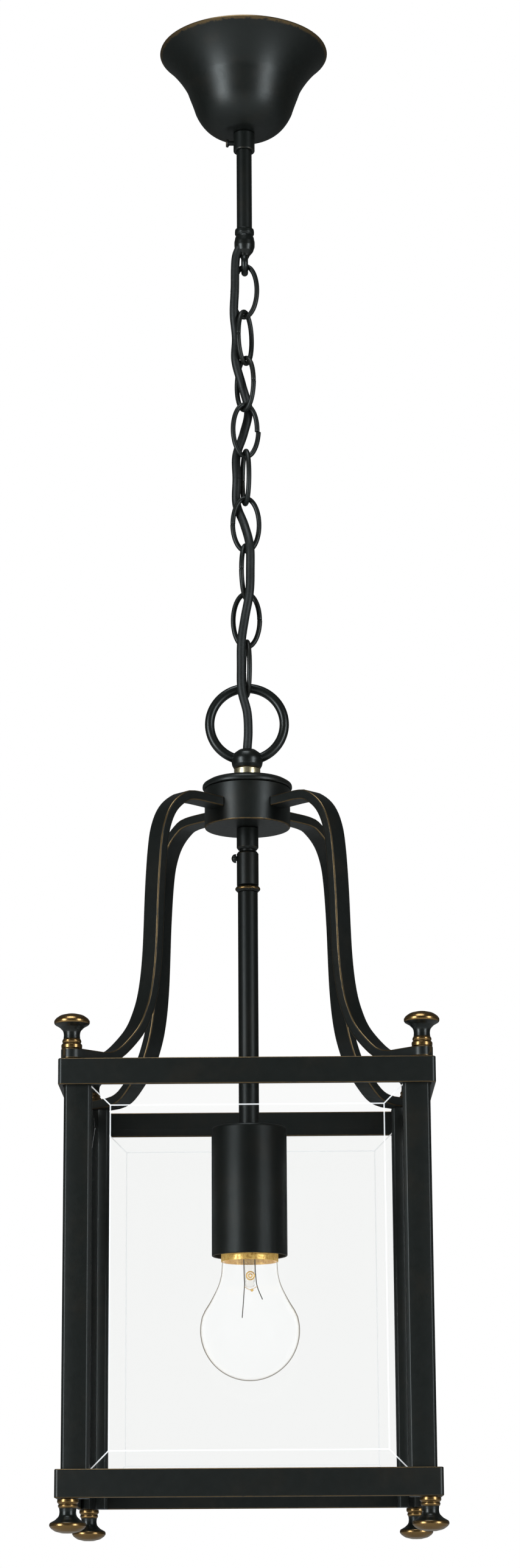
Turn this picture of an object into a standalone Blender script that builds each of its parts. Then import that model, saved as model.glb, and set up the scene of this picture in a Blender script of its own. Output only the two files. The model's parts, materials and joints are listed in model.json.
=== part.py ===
"""Hanging lantern: ceiling canopy, nine-link chain with a flex, hub with four bent arms, square
glazed frame and one lamp.  Metres, +Z up, origin on the ceiling plane over the chain."""

import math

import bmesh
import bpy
from mathutils import Matrix, Vector

# ---- clearances -----------------------------------------------------------------------------
FIT_GAP = 0.0003            # between pieces that touch
BORE_CLEARANCE = 0.0006     # added to a diameter that passes through a hole
CORD_CLEARANCE = 0.0012     # added to the flex's diameter in a bore
CUT_PAST = 0.0040           # how far a cutter runs past the face that it cuts

# ---- ceiling end ----------------------------------------------------------------------------
PLATE_LENGTH = 0.096
PLATE_WIDTH = 0.030
PLATE_THICKNESS = 0.0025
SLOT_SPACING = 0.076
SLOT_LENGTH = 0.009
SLOT_WIDTH = 0.005

BRIDGE_SPAN = 0.038
BRIDGE_WIDTH = 0.016
BRIDGE_DROP = 0.0325
BRIDGE_WALL = 0.0022

BLOCK_LENGTH = 0.026
BLOCK_WIDTH = 0.016
BLOCK_HEIGHT = 0.0100
BLOCK_WIRE_HOLE = 0.0032

NUT_ACROSS_FLATS = 0.014
NUT_HEIGHT = 0.0045

CANOPY_RADIUS = 0.0555
CANOPY_HEIGHT = 0.0581
CANOPY_WALL = 0.0014
CANOPY_CEILING_GAP = 0.0005

COLLAR_WALL = 0.0017
COLLAR_LENGTH = 0.0126
COLLAR_EDGE = 0.0012
THUMB_SHANK = 0.0030
THUMB_HEAD = 0.0054
THUMB_HEAD_LENGTH = 0.0022
THUMB_SHOWS = 0.0028        # of the shank, between the collar and the head

STEM_DIAMETER = 0.0100
STEM_BORE = 0.0072
STEM_BOTTOM = -0.1301
STEM_ABOVE_BRIDGE = 0.0085
STEM_SOCKET_DEPTH = 0.0030

# ---- chain ----------------------------------------------------------------------------------
EYE_BEAD_WALL = 0.0010       # round the stem
EYE_BEAD_LENGTH = 0.0043
EYE_BODY_DIAMETER = 0.0134
EYE_BODY_LENGTH = 0.0150
EYE_EDGE = 0.0008
EYE_WIRE = 0.0045
EYE_RADIUS = 0.0052         # of the eye's wire centre
EYE_BELOW_BEAD = 0.02035    # from the bead to the eye's centre

LINK_COUNT = 9
LINK_LENGTH = 0.03865
LINK_WIDTH = 0.0200
LINK_WIRE = 0.00315
LINK_TURNS = (-20, 60, 130, 200, 285, 365, 430, 536, 643)    # degrees about the chain's axis
CHAIN_PLAY = 0.0003

FLEX_DIAMETER = 0.0056
FLEX_POINT_SPACING = 0.0115
FLEX_JOIN_GAP = 0.0018      # inside the castings, where one stretch of flex meets the next

# ---- hanging ring and hub -------------------------------------------------------------------
RING_RADIUS = 0.0265        # outside
RING_BAR = 0.0060
KNOB_DIAMETER = 0.0203
KNOB_HEIGHT = 0.0118
KNOB_BELOW_RING = 0.0038
NIPPLE_DIAMETER = 0.0098
NIPPLE_BORE = 0.0070
NIPPLE_INTO_KNOB = 0.0070

BRASS_COLLAR_DIAMETER = 0.0165
BRASS_COLLAR_HEIGHT = 0.0042

LID_DIAMETER = 0.0562
LID_HEIGHT = 0.0075
LID_EDGE = 0.0032           # of the round edge on top
HUB_DIAMETER = 0.0535
HUB_HEIGHT = 0.0247
HUB_WALL = 0.0030
HUB_EDGE = 0.0006

# ---- rod and lamp ---------------------------------------------------------------------------
SLEEVE_WALL = 0.0016
SLEEVE_EDGE = 0.0012
UPPER_SLEEVE_LENGTH = 0.0135
SLEEVE_NOTCH = 0.0012
LOWER_SLEEVE_LENGTH = 0.0216
ROD_BEAD_PROUD = 0.0010      # of the sleeves
ROD_BEAD_LENGTH = 0.0039
ROD_BEAD_EDGE = 0.0012
LOCK_SHANK = 0.0030
LOCK_HEAD = 0.0055
LOCK_HEAD_LENGTH = 0.0030
LOCK_BELOW_SLEEVE_TOP = 0.0042
TUBE_SHOULDER = 0.0013       # of the tube over its threaded ends
TUBE_LENGTH = 0.1463
SPIGOT_UP = 0.0110
SPIGOT_DOWN = 0.0170

CUP_LENGTH = 0.0785
CUP_WALL = 0.0012
CUP_EDGE = 0.0020           # of the bend between the cup's top and its side
CUP_SPACE = 0.0022          # between the holder and the cup's wall
HOLDER_WALL = 0.0057
HOLDER_EDGE = 0.0020
HOLDER_BOSS_DIAMETER = 0.0180
HOLDER_BOSS_LENGTH = 0.0140
HOLDER_BELOW_CUP_TOP = 0.0100
HOLDER_SETBACK = 0.0028     # of the holder's mouth inside the cup's mouth
HOLDER_BORE_DEPTH = 0.0300

LAMP_CAP_DIAMETER = 0.0264
LAMP_CAP_LENGTH = 0.0262
LAMP_CAP_WALL = 0.0008
LAMP_CAP_PLAY = 0.0006      # round the cap, in the holder's mouth and over the neck
LAMP_GLOBE_RADIUS = 0.0300
LAMP_GLASS_WALL = 0.0009
LAMP_GLASS_INTO_CAP = 0.0120
LAMP_NECK_FLARE = 0.0048    # of the glass, from the neck to the start of the globe
LAMP_CAP_TO_GLOBE = 0.0498  # from the cap's lower edge to the globe's centre

# ---- frame ----------------------------------------------------------------------------------
FRAME_WIDTH = 0.2190
BAND_THICKNESS = 0.0030
BAND_CORNER = 0.0020
TOP_BAND_HEIGHT = 0.0154
BOTTOM_BAND_HEIGHT = 0.0160
FRAME_TOP = -0.6933
FRAME_HEIGHT = 0.2494
POST_WIDTH = 0.0158
POST_CHAMFER = 0.0015

GLASS_THICKNESS = 0.0030
GLASS_INSET = 0.0105        # of the pane's middle from the frame's outer face
GLASS_TOP_BELOW_FRAME = 0.0117
GLASS_BOTTOM_ABOVE_FRAME = 0.0115
GROOVE_DEPTH = 0.0040

FINIAL_HEIGHT = 0.0205
FOOT_HEIGHT = 0.0190
KNOB_HEAD_DIAMETER = 0.0208
KNOB_BEAD_DIAMETER = 0.0121
KNOB_BEAD_STEP = 0.0007     # between the lower and the upper bead
KNOB_NECK_DIAMETER = 0.0095
FINIAL_INSET = 0.0075       # of the finial's axis from the frame's outer face
FINIAL_PIN = 0.0050
FINIAL_PIN_INTO_POST = 0.0100
PIN_HOLE_SPARE = 0.0010     # below the pin's end

# ---- arms -----------------------------------------------------------------------------------
ARM_WIDTH = 0.0125
ARM_THICKNESS = 0.0060
ARM_EDGE = 0.0010
ARM_HUB_DROP = 0.0126       # from the hub's top down to the arm's middle
ARM_SHOULDER_RADIUS = 0.0765
ARM_KNEE_RADIUS = 0.0840
ARM_PAD_REACH = 0.0270      # level length before the finial's axis


# ---- sizes and heights worked out from the sizes above ------------------------------------------
COLLAR_DIAMETER = STEM_DIAMETER + BORE_CLEARANCE + 2 * COLLAR_WALL
EYE_BEAD_DIAMETER = STEM_DIAMETER + BORE_CLEARANCE + 2 * EYE_BEAD_WALL
SLEEVE_DIAMETER = NIPPLE_DIAMETER + BORE_CLEARANCE + 2 * SLEEVE_WALL
ROD_BEAD_DIAMETER = SLEEVE_DIAMETER + 2 * ROD_BEAD_PROUD
TUBE_SPIGOT = NIPPLE_DIAMETER
TUBE_DIAMETER = TUBE_SPIGOT + 2 * TUBE_SHOULDER
LAMP_NECK_DIAMETER = LAMP_CAP_DIAMETER - 2 * LAMP_CAP_WALL - 2 * LAMP_CAP_PLAY
HOLDER_MOUTH = LAMP_CAP_DIAMETER + 2 * LAMP_CAP_PLAY
HOLDER_DIAMETER = HOLDER_MOUTH + 2 * HOLDER_WALL
CUP_DIAMETER = HOLDER_DIAMETER + 2 * CUP_SPACE + 2 * CUP_WALL
FRAME_BOTTOM = FRAME_TOP - FRAME_HEIGHT

CANOPY_RIM_Z = -CANOPY_CEILING_GAP
CANOPY_FLOOR_Z = CANOPY_RIM_Z - CANOPY_HEIGHT
COLLAR_TOP_Z = CANOPY_FLOOR_Z - FIT_GAP
COLLAR_BOTTOM_Z = COLLAR_TOP_Z - COLLAR_LENGTH
STEM_TOP_Z = -BRIDGE_DROP + BRIDGE_WALL + STEM_ABOVE_BRIDGE
EYE_TOP_Z = STEM_BOTTOM + STEM_SOCKET_DEPTH
EYE_BEAD_BOTTOM_Z = EYE_TOP_Z - EYE_BEAD_LENGTH
EYE_CENTRE_Z = EYE_BEAD_BOTTOM_Z - EYE_BELOW_BEAD
EYE_INNER_BOTTOM_Z = EYE_CENTRE_Z - EYE_RADIUS + EYE_WIRE / 2

LINK_PITCH = LINK_LENGTH - 2 * LINK_WIRE - CHAIN_PLAY
FIRST_LINK_TOP_Z = EYE_INNER_BOTTOM_Z + LINK_WIRE + CHAIN_PLAY
LAST_LINK_BOTTOM_Z = FIRST_LINK_TOP_Z - (LINK_COUNT - 1) * LINK_PITCH - LINK_LENGTH

RING_CENTRE_Z = LAST_LINK_BOTTOM_Z + LINK_WIRE + CHAIN_PLAY + RING_BAR - RING_RADIUS
KNOB_BOTTOM_Z = RING_CENTRE_Z - RING_RADIUS - KNOB_BELOW_RING
KNOB_TOP_Z = KNOB_BOTTOM_Z + KNOB_HEIGHT
BRASS_TOP_Z = KNOB_BOTTOM_Z - FIT_GAP
BRASS_BOTTOM_Z = BRASS_TOP_Z - BRASS_COLLAR_HEIGHT
LID_TOP_Z = BRASS_BOTTOM_Z - FIT_GAP
LID_BOTTOM_Z = LID_TOP_Z - LID_HEIGHT
HUB_TOP_Z = LID_BOTTOM_Z - FIT_GAP
HUB_BOTTOM_Z = HUB_TOP_Z - HUB_HEIGHT

UPPER_SLEEVE_TOP_Z = HUB_BOTTOM_Z - FIT_GAP
UPPER_SLEEVE_BOTTOM_Z = UPPER_SLEEVE_TOP_Z - UPPER_SLEEVE_LENGTH
LOWER_SLEEVE_TOP_Z = UPPER_SLEEVE_BOTTOM_Z - SLEEVE_NOTCH
LOWER_SLEEVE_BOTTOM_Z = LOWER_SLEEVE_TOP_Z - LOWER_SLEEVE_LENGTH
ROD_BEAD_TOP_Z = LOWER_SLEEVE_BOTTOM_Z - FIT_GAP
ROD_BEAD_BOTTOM_Z = ROD_BEAD_TOP_Z - ROD_BEAD_LENGTH
TUBE_TOP_Z = ROD_BEAD_BOTTOM_Z - FIT_GAP
TUBE_BOTTOM_Z = TUBE_TOP_Z - TUBE_LENGTH
CUP_TOP_Z = TUBE_BOTTOM_Z - FIT_GAP
CUP_BOTTOM_Z = CUP_TOP_Z - CUP_LENGTH
HOLDER_TOP_Z = CUP_TOP_Z - HOLDER_BELOW_CUP_TOP
HOLDER_MOUTH_Z = CUP_BOTTOM_Z + HOLDER_SETBACK
LAMP_TOP_Z = HOLDER_MOUTH_Z + HOLDER_BORE_DEPTH - 3 * FIT_GAP
LAMP_CAP_BOTTOM_Z = LAMP_TOP_Z - LAMP_CAP_LENGTH
GLOBE_CENTRE_Z = LAMP_CAP_BOTTOM_Z - LAMP_CAP_TO_GLOBE

BAND_INNER = FRAME_WIDTH / 2 - BAND_THICKNESS
POST_OUTER = BAND_INNER - FIT_GAP
POST_CENTRE = POST_OUTER - POST_WIDTH / 2
POST_INNER = POST_OUTER - POST_WIDTH
GLASS_PLANE = FRAME_WIDTH / 2 - GLASS_INSET
FINIAL_AXIS = FRAME_WIDTH / 2 - FINIAL_INSET
FINIAL_AXIS_RADIUS = FINIAL_AXIS * math.sqrt(2)
ARM_PAD_Z = FRAME_TOP + FIT_GAP + ARM_THICKNESS / 2
FINIAL_BASE_Z = ARM_PAD_Z + ARM_THICKNESS / 2 + FIT_GAP
FOOT_TOP_Z = FRAME_BOTTOM - FIT_GAP
CORNERS = {"front_right": -45, "back_right": 45, "back_left": 135, "front_left": 225}
SIDES = {"front": 0, "right": 90, "back": 180, "left": 270}


# ---- scene and materials ----------------------------------------------------------------------
def clear_scene():
    for item in list(bpy.data.objects):
        bpy.data.objects.remove(item, do_unlink=True)


def make_material(name, colour, roughness, metallic, transmission=0.0):
    material = bpy.data.materials.new(name)
    material.use_nodes = True
    shader = material.node_tree.nodes["Principled BSDF"]
    shader.inputs["Base Color"].default_value = (*colour, 1.0)
    shader.inputs["Roughness"].default_value = roughness
    shader.inputs["Metallic"].default_value = metallic
    shader.inputs["Transmission Weight"].default_value = transmission
    material.diffuse_color = (*colour, 1.0)
    return material


FINISHES = {
    "bronze": ((0.016, 0.018, 0.013), 0.42, 0.60, 0.0),
    "brass": ((0.250, 0.180, 0.080), 0.38, 0.90, 0.0),
    "zinc": ((0.400, 0.400, 0.380), 0.45, 0.90, 0.0),
    "porcelain": ((0.650, 0.630, 0.580), 0.35, 0.0, 0.0),
    "plastic": ((0.700, 0.690, 0.650), 0.50, 0.0, 0.0),
    "flex": ((0.012, 0.014, 0.012), 0.55, 0.0, 0.0),
    "glass": ((0.950, 0.960, 0.960), 0.05, 0.0, 1.0),
    "lamp_cap": ((0.600, 0.580, 0.520), 0.35, 0.90, 0.0),
}


def finish(name, kind):
    """Each piece has a material of its own, made from one of the finishes."""
    return make_material(name + "_" + kind, *FINISHES[kind])


# ---- shape helpers ----------------------------------------------------------------------------
def object_from_bmesh(name, bm, kind, sharp_angle=35):
    bmesh.ops.remove_doubles(bm, verts=bm.verts, dist=1e-6)
    bmesh.ops.recalc_face_normals(bm, faces=bm.faces)
    mesh = bpy.data.meshes.new(name)
    bm.to_mesh(mesh)
    bm.free()
    mesh.shade_smooth()
    mesh.set_sharp_from_angle(angle=math.radians(sharp_angle))
    item = bpy.data.objects.new(name, mesh)
    bpy.context.collection.objects.link(item)
    if kind:
        mesh.materials.append(finish(name, kind))
    return item


def turned_bmesh(outline, sides, closed=True):
    """A closed outline of (radius, height) points spun about Z; an open one starts and ends on Z."""
    bm = bmesh.new()
    verts = [bm.verts.new((radius, 0, height)) for radius, height in outline]
    edges = [bm.edges.new(pair) for pair in zip(verts, verts[1:])]
    if closed:
        edges.append(bm.edges.new((verts[-1], verts[0])))
    bmesh.ops.spin(bm, geom=verts + edges, cent=(0, 0, 0), axis=(0, 0, 1),
                   angle=math.tau, steps=sides, use_merge=True)
    return bm


def turned(name, outline, kind, sides=18, closed=True):
    return object_from_bmesh(name, turned_bmesh(outline, sides, closed), kind)


def tube_outline(outer, bore, top, bottom, edge=0.0):
    """The half section of a plain tube, with its outer corners cut by the edge size."""
    points = [(bore / 2, top), (outer / 2 - edge, top)]
    if edge:
        points.append((outer / 2, top - edge))
        points.append((outer / 2, bottom + edge))
    points.append((outer / 2 - edge, bottom) if edge else (outer / 2, bottom))
    if not edge:
        points.insert(2, (outer / 2, (top + bottom) / 2))
    points.append((bore / 2, bottom))
    return points


def arc_points(centre, radius, start, end, steps):
    """Points on an arc in the half section; the angles are in degrees from the outward radius."""
    points = []
    for step in range(steps + 1):
        angle = math.radians(start + (end - start) * step / steps)
        points.append((centre[0] + radius * math.cos(angle), centre[1] + radius * math.sin(angle)))
    return points


def smooth_route(points, spacing):
    """A smooth curve through the points, read off about every spacing metres."""
    knots = [Vector(point) for point in points]
    ends = [2 * knots[0] - knots[1]] + knots + [2 * knots[-1] - knots[-2]]
    fine = []
    for a, b, c, d in zip(ends, ends[1:], ends[2:], ends[3:]):
        for step in range(24):
            t = step / 24
            fine.append(0.5 * (2 * b + (c - a) * t + (2 * a - 5 * b + 4 * c - d) * t ** 2
                               + (3 * b - a - 3 * c + d) * t ** 3))
    fine.append(knots[-1])
    total = sum((q - p).length for p, q in zip(fine, fine[1:]))
    count = max(1, round(total / spacing))
    route = [fine[0]]
    travelled = 0.0
    for p, q in zip(fine, fine[1:]):
        step_length = (q - p).length
        while len(route) < count and travelled + step_length >= len(route) * total / count:
            share = (len(route) * total / count - travelled) / step_length
            route.append(p.lerp(q, share))
        travelled += step_length
    route.append(fine[-1])
    return route


def wire(name, points, diameter, kind, cyclic=False, resolution=2):
    """A round wire or cord along the points, as a poly curve with a bevel."""
    curve = bpy.data.curves.new(name, "CURVE")
    curve.dimensions = "3D"
    curve.bevel_depth = diameter / 2
    curve.bevel_resolution = resolution
    curve.use_fill_caps = not cyclic
    curve.render_resolution_u = 0
    spline = curve.splines.new("POLY")
    spline.points.add(len(points) - 1)
    for knot, point in zip(spline.points, points):
        knot.co = (*point, 1.0)
    spline.use_cyclic_u = cyclic
    spline.use_smooth = True
    curve.materials.append(finish(name, kind))
    item = bpy.data.objects.new(name, curve)
    bpy.context.collection.objects.link(item)
    return item


def block_bmesh(size, centre):
    bm = bmesh.new()
    bmesh.ops.create_cube(bm, size=1.0, matrix=Matrix.Translation(centre) @ Matrix.Diagonal((*size, 1)))
    return bm


def add_boolean(item, operation, other):
    modifier = item.modifiers.new(operation.lower(), "BOOLEAN")
    modifier.operation = operation
    modifier.solver = "EXACT"
    modifier.object = other
    other.hide_render = True
    other.display_type = "WIRE"
    other.parent = item.parent


def round_cutter(name, diameter, start, end, sides=12):
    """A cylinder between two points, for a bore."""
    start = Vector(start)
    end = Vector(end)
    bm = bmesh.new()
    turn = (end - start).to_track_quat("Z", "Y").to_matrix().to_4x4()
    bmesh.ops.create_cone(bm, cap_ends=True, segments=sides, radius1=diameter / 2, radius2=diameter / 2,
                          depth=(end - start).length, matrix=Matrix.Translation((start + end) / 2) @ turn)
    return object_from_bmesh(name, bm, None)


def ring_bmesh(radius, bar, turn, centre_z, steps=28, sides=8):
    """A round bar bent to a full ring that stands upright, turned about Z by so many degrees."""
    bm = bmesh.new()
    bmesh.ops.create_circle(bm, segments=sides, radius=bar / 2,
                            matrix=Matrix.Translation((radius, 0, 0)) @ Matrix.Rotation(math.pi / 2, 4, "X"))
    bmesh.ops.spin(bm, geom=bm.verts[:] + bm.edges[:], cent=(0, 0, 0), axis=(0, 0, 1),
                   angle=math.tau, steps=steps, use_merge=True)
    upright = Matrix.Rotation(math.radians(turn), 4, "Z") @ Matrix.Rotation(math.pi / 2, 4, "X")
    bm.transform(Matrix.Translation((0, 0, centre_z)) @ upright)
    return bm


def hex_nut(name, across, bore, top, height, kind):
    bm = bmesh.new()
    bmesh.ops.create_cone(bm, cap_ends=True, segments=6, radius1=across / math.sqrt(3),
                          radius2=across / math.sqrt(3), depth=height,
                          matrix=Matrix.Translation((0, 0, top - height / 2)))
    nut = object_from_bmesh(name, bm, kind)
    add_boolean(nut, "DIFFERENCE", round_cutter(name + "_bore", bore, (0, 0, top + height),
                                                (0, 0, top - 2 * height)))
    return nut


# ---- ceiling end ----------------------------------------------------------------------------
def make_ceiling_plate():
    plate = object_from_bmesh("ceiling_plate", block_bmesh(
        (PLATE_LENGTH, PLATE_WIDTH, PLATE_THICKNESS), (0, 0, -PLATE_THICKNESS / 2)), "zinc")
    for side in (-1, 1):
        slot = object_from_bmesh(f"slot_cutter_{side}", block_bmesh(
            (SLOT_LENGTH, SLOT_WIDTH, 3 * PLATE_THICKNESS), (side * SLOT_SPACING / 2, 0, -PLATE_THICKNESS / 2)),
            None)
        add_boolean(plate, "DIFFERENCE", slot)
    return plate


def make_stem_bridge():
    """A strap bent to a U, which carries the stem below the plate."""
    top = -PLATE_THICKNESS - FIT_GAP
    outer = BRIDGE_SPAN / 2
    inner = outer - BRIDGE_WALL
    outline = [(-outer, top), (-outer, -BRIDGE_DROP), (outer, -BRIDGE_DROP), (outer, top),
               (inner, top), (inner, BRIDGE_WALL - BRIDGE_DROP), (-inner, BRIDGE_WALL - BRIDGE_DROP),
               (-inner, top)]
    bm = bmesh.new()
    face = bm.faces.new([bm.verts.new((x, -BRIDGE_WIDTH / 2, z)) for x, z in outline])
    moved = bmesh.ops.extrude_face_region(bm, geom=[face])["geom"]
    bmesh.ops.translate(bm, verts=[v for v in moved if isinstance(v, bmesh.types.BMVert)],
                        vec=(0, BRIDGE_WIDTH, 0))
    bridge = object_from_bmesh("stem_bridge", bm, "zinc")
    hole = round_cutter("bridge_hole", STEM_DIAMETER + BORE_CLEARANCE, (0, 0, -BRIDGE_DROP - BRIDGE_WALL),
                        (0, 0, 2 * BRIDGE_WALL - BRIDGE_DROP))
    add_boolean(bridge, "DIFFERENCE", hole)
    return bridge


def make_terminal_block():
    top = -PLATE_THICKNESS - FIT_GAP
    block = object_from_bmesh("terminal_block", block_bmesh(
        (BLOCK_LENGTH, BLOCK_WIDTH, BLOCK_HEIGHT), (0, 0, top - BLOCK_HEIGHT / 2)), "plastic")
    for side in (-1, 1):
        x = side * BLOCK_LENGTH / 4
        hole = round_cutter(f"wire_hole_{side}", BLOCK_WIRE_HOLE, (x, -BLOCK_WIDTH, top - BLOCK_HEIGHT / 2),
                            (x, BLOCK_WIDTH, top - BLOCK_HEIGHT / 2), sides=10)
        add_boolean(block, "DIFFERENCE", hole)
    return block


def canopy_outline():
    """The bell: a concave flare under the rim, a nearly straight waist and a round floor."""
    rim = CANOPY_RIM_Z
    radius = CANOPY_RADIUS
    height = CANOPY_HEIGHT
    flare = (radius * 0.68, rim - height * 0.44)
    waist = (radius * 0.58, rim - height * 0.72)
    floor = (radius * 0.26, rim - height)

    def curve(start, handle_1, handle_2, end, steps):
        points = []
        for step in range(steps + 1):
            t = step / steps
            u = 1 - t
            points.append(tuple(u ** 3 * a + 3 * u * u * t * b + 3 * u * t * t * c + t ** 3 * d
                                for a, b, c, d in zip(start, handle_1, handle_2, end)))
        return points

    outer = curve((radius, rim), (radius * 0.93, rim - height * 0.08),
                  (radius * 0.78, rim - height * 0.24), flare, 5)
    outer += curve(flare, (radius * 0.65, rim - height * 0.53),
                   (radius * 0.61, rim - height * 0.62), waist, 2)[1:]
    outer += curve(waist, (radius * 0.52, rim - height * 0.86),
                   (radius * 0.42, rim - height * 0.97), floor, 4)[1:]
    inner = []
    for (r0, z0), (r1, z1) in zip(outer, outer[1:]):
        length = math.hypot(r1 - r0, z1 - z0)
        inner.append(((r0 + r1) / 2 + (z1 - z0) / length * CANOPY_WALL,
                      (z0 + z1) / 2 - (r1 - r0) / length * CANOPY_WALL))
    hole = STEM_DIAMETER / 2 + BORE_CLEARANCE / 2
    outer.append((hole, CANOPY_FLOOR_Z))
    inner.append((hole, CANOPY_FLOOR_Z + CANOPY_WALL))
    inner.insert(0, (radius - CANOPY_WALL * 1.2, rim))
    return outer + inner[::-1]


def make_canopy():
    return turned("canopy", canopy_outline(), "bronze", sides=28)


def make_canopy_collar():
    outline = tube_outline(COLLAR_DIAMETER, STEM_DIAMETER + BORE_CLEARANCE, COLLAR_TOP_Z, COLLAR_BOTTOM_Z,
                           COLLAR_EDGE)
    collar = turned("canopy_collar", outline, "bronze")
    z = (COLLAR_TOP_Z + COLLAR_BOTTOM_Z) / 2
    add_boolean(collar, "DIFFERENCE", round_cutter("thumb_hole", THUMB_SHANK + BORE_CLEARANCE,
                                                   (0, 0, z), (-COLLAR_DIAMETER, 0, z), sides=12))
    return collar


def make_side_screw(name, shank, head, head_length, tip_x, head_x, z, kind):
    """A screw whose axis runs along X, with its head on the left."""
    outline = [(0, tip_x), (shank / 2, tip_x), (shank / 2, head_x), (head * 0.36, head_x),
               (head / 2, head_x - head_length * 0.55), (head / 2, head_x - head_length * 0.9),
               (head * 0.42, head_x - head_length), (0, head_x - head_length)]
    bm = turned_bmesh(outline, 14, closed=False)
    bm.transform(Matrix.Rotation(math.pi / 2, 4, "Y"))
    screw = object_from_bmesh(name, bm, kind)
    screw.location = (0, 0, z)
    return screw


def make_thumb_screw():
    return make_side_screw("canopy_thumb_screw", THUMB_SHANK, THUMB_HEAD, THUMB_HEAD_LENGTH,
                           -STEM_DIAMETER / 2 - FIT_GAP, -COLLAR_DIAMETER / 2 - THUMB_SHOWS,
                           (COLLAR_TOP_Z + COLLAR_BOTTOM_Z) / 2, "bronze")


def make_stem_tube():
    return turned("stem_tube", tube_outline(STEM_DIAMETER, STEM_BORE, STEM_TOP_Z, STEM_BOTTOM), "bronze")


def make_stem_eye():
    """One casting: a bead, an acorn and the eye for the first link."""
    top = EYE_TOP_Z
    bead = EYE_BEAD_DIAMETER / 2
    body = EYE_BODY_DIAMETER / 2
    outline = [(0, top), (bead - EYE_EDGE, top), (bead, top - EYE_BEAD_LENGTH * 0.3),
               (bead, top - EYE_BEAD_LENGTH * 0.7), (bead - EYE_EDGE, EYE_BEAD_BOTTOM_Z)]
    outline += [(body * width, EYE_BEAD_BOTTOM_Z - EYE_BODY_LENGTH * depth) for width, depth in (
        (0.88, 0.08), (1.0, 0.30), (1.0, 0.57), (0.74, 0.80), (0.36, 1.0), (0.0, 1.0))]
    eye = turned("stem_eye", outline, "bronze", closed=False)
    ring = object_from_bmesh("eye_ring", ring_bmesh(EYE_RADIUS, EYE_WIRE, 90, EYE_CENTRE_Z, steps=16), None)
    add_boolean(eye, "UNION", ring)
    add_boolean(eye, "DIFFERENCE", round_cutter("stem_socket", STEM_DIAMETER + BORE_CLEARANCE,
                                                (0, 0, top + CUT_PAST), (0, 0, STEM_BOTTOM - FIT_GAP),
                                                sides=18))
    bore = FLEX_DIAMETER + CORD_CLEARANCE
    reach = Vector(FLEX_ROUTE[3]) - Vector(FLEX_ROUTE[1])
    start = Vector(FLEX_ROUTE[1]) - reach * 0.55
    add_boolean(eye, "DIFFERENCE", round_cutter("flex_exit", bore, start, Vector(FLEX_ROUTE[3]) + reach * 0.1))
    return eye


# ---- chain and flex ----------------------------------------------------------------------------
# The flex leaves the acorn on the left, runs beside links 1 and 2, goes through link 3, behind
# link 4, beside link 5, through link 6, in front of links 7 and 8, beside link 9 and the ring's
# top, and enters the knob under the ring.
FLEX_ROUTE = [
    (0.0, 0.0, -0.1304),
    (-0.0011, -0.0005, -0.1338),
    (-0.0032, -0.0016, -0.1400),
    (-0.0055, -0.0028, -0.1468),
    (-0.0062, -0.0032, -0.1560),
    (-0.0064, -0.0033, -0.1700),
    (-0.0071, -0.0024, -0.1867),
    (-0.0058, 0.0000, -0.2027),
    (-0.0062, -0.0004, -0.2187),
    (-0.0021, 0.0020, -0.2348),
    (0.0019, 0.0061, -0.2508),
    (-0.0012, 0.0056, -0.2668),
    (-0.0059, 0.0031, -0.2829),
    (-0.0058, 0.0024, -0.2989),
    (-0.0060, 0.0050, -0.3149),
    (-0.0010, 0.0000, -0.3309),
    (0.0024, -0.0075, -0.3470),
    (0.0027, -0.0080, -0.3630),
    (0.0021, -0.0084, -0.3790),
    (-0.0008, -0.0075, -0.3950),
    (-0.0031, -0.0081, -0.4110),
    (-0.0034, -0.0077, -0.4270),
    (-0.0031, -0.0077, -0.4431),
    (0.0002, -0.0058, -0.4570),
    (0.0008, -0.0020, -0.4690),
    (0.0001, 0.0, -0.4795),
    (0.0, 0.0, -0.4865),
]


def link_centre_z(number):
    return FIRST_LINK_TOP_Z - (number - 1) * LINK_PITCH - LINK_LENGTH / 2


def make_chain_link(number):
    turn = math.radians(LINK_TURNS[number - 1])
    half_height = (LINK_LENGTH - LINK_WIRE) / 2
    half_width = (LINK_WIDTH - LINK_WIRE) / 2
    steps = 20
    points = []
    for step in range(steps):
        angle = math.tau * step / steps
        across = half_width * math.cos(angle)
        points.append((across * math.cos(turn), across * math.sin(turn),
                       link_centre_z(number) + half_height * math.sin(angle)))
    return wire(f"chain_link_{number}", points, LINK_WIRE, "bronze", cyclic=True)


def make_flex():
    top = -PLATE_THICKNESS - FIT_GAP - BLOCK_HEIGHT - FIT_GAP
    wire("flex_stem", [(0, 0, top), (0, 0, STEM_TOP_Z), (0, 0, FLEX_ROUTE[0][2] + FLEX_JOIN_GAP)],
         FLEX_DIAMETER, "flex")
    wire("flex_chain", smooth_route(FLEX_ROUTE, FLEX_POINT_SPACING), FLEX_DIAMETER, "flex")
    bottom = TUBE_BOTTOM_Z - SPIGOT_DOWN - 3 * FIT_GAP
    wire("flex_rod", [(0, 0, FLEX_ROUTE[-1][2] - FLEX_JOIN_GAP), (0, 0, HUB_BOTTOM_Z), (0, 0, bottom)],
         FLEX_DIAMETER, "flex")


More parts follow.
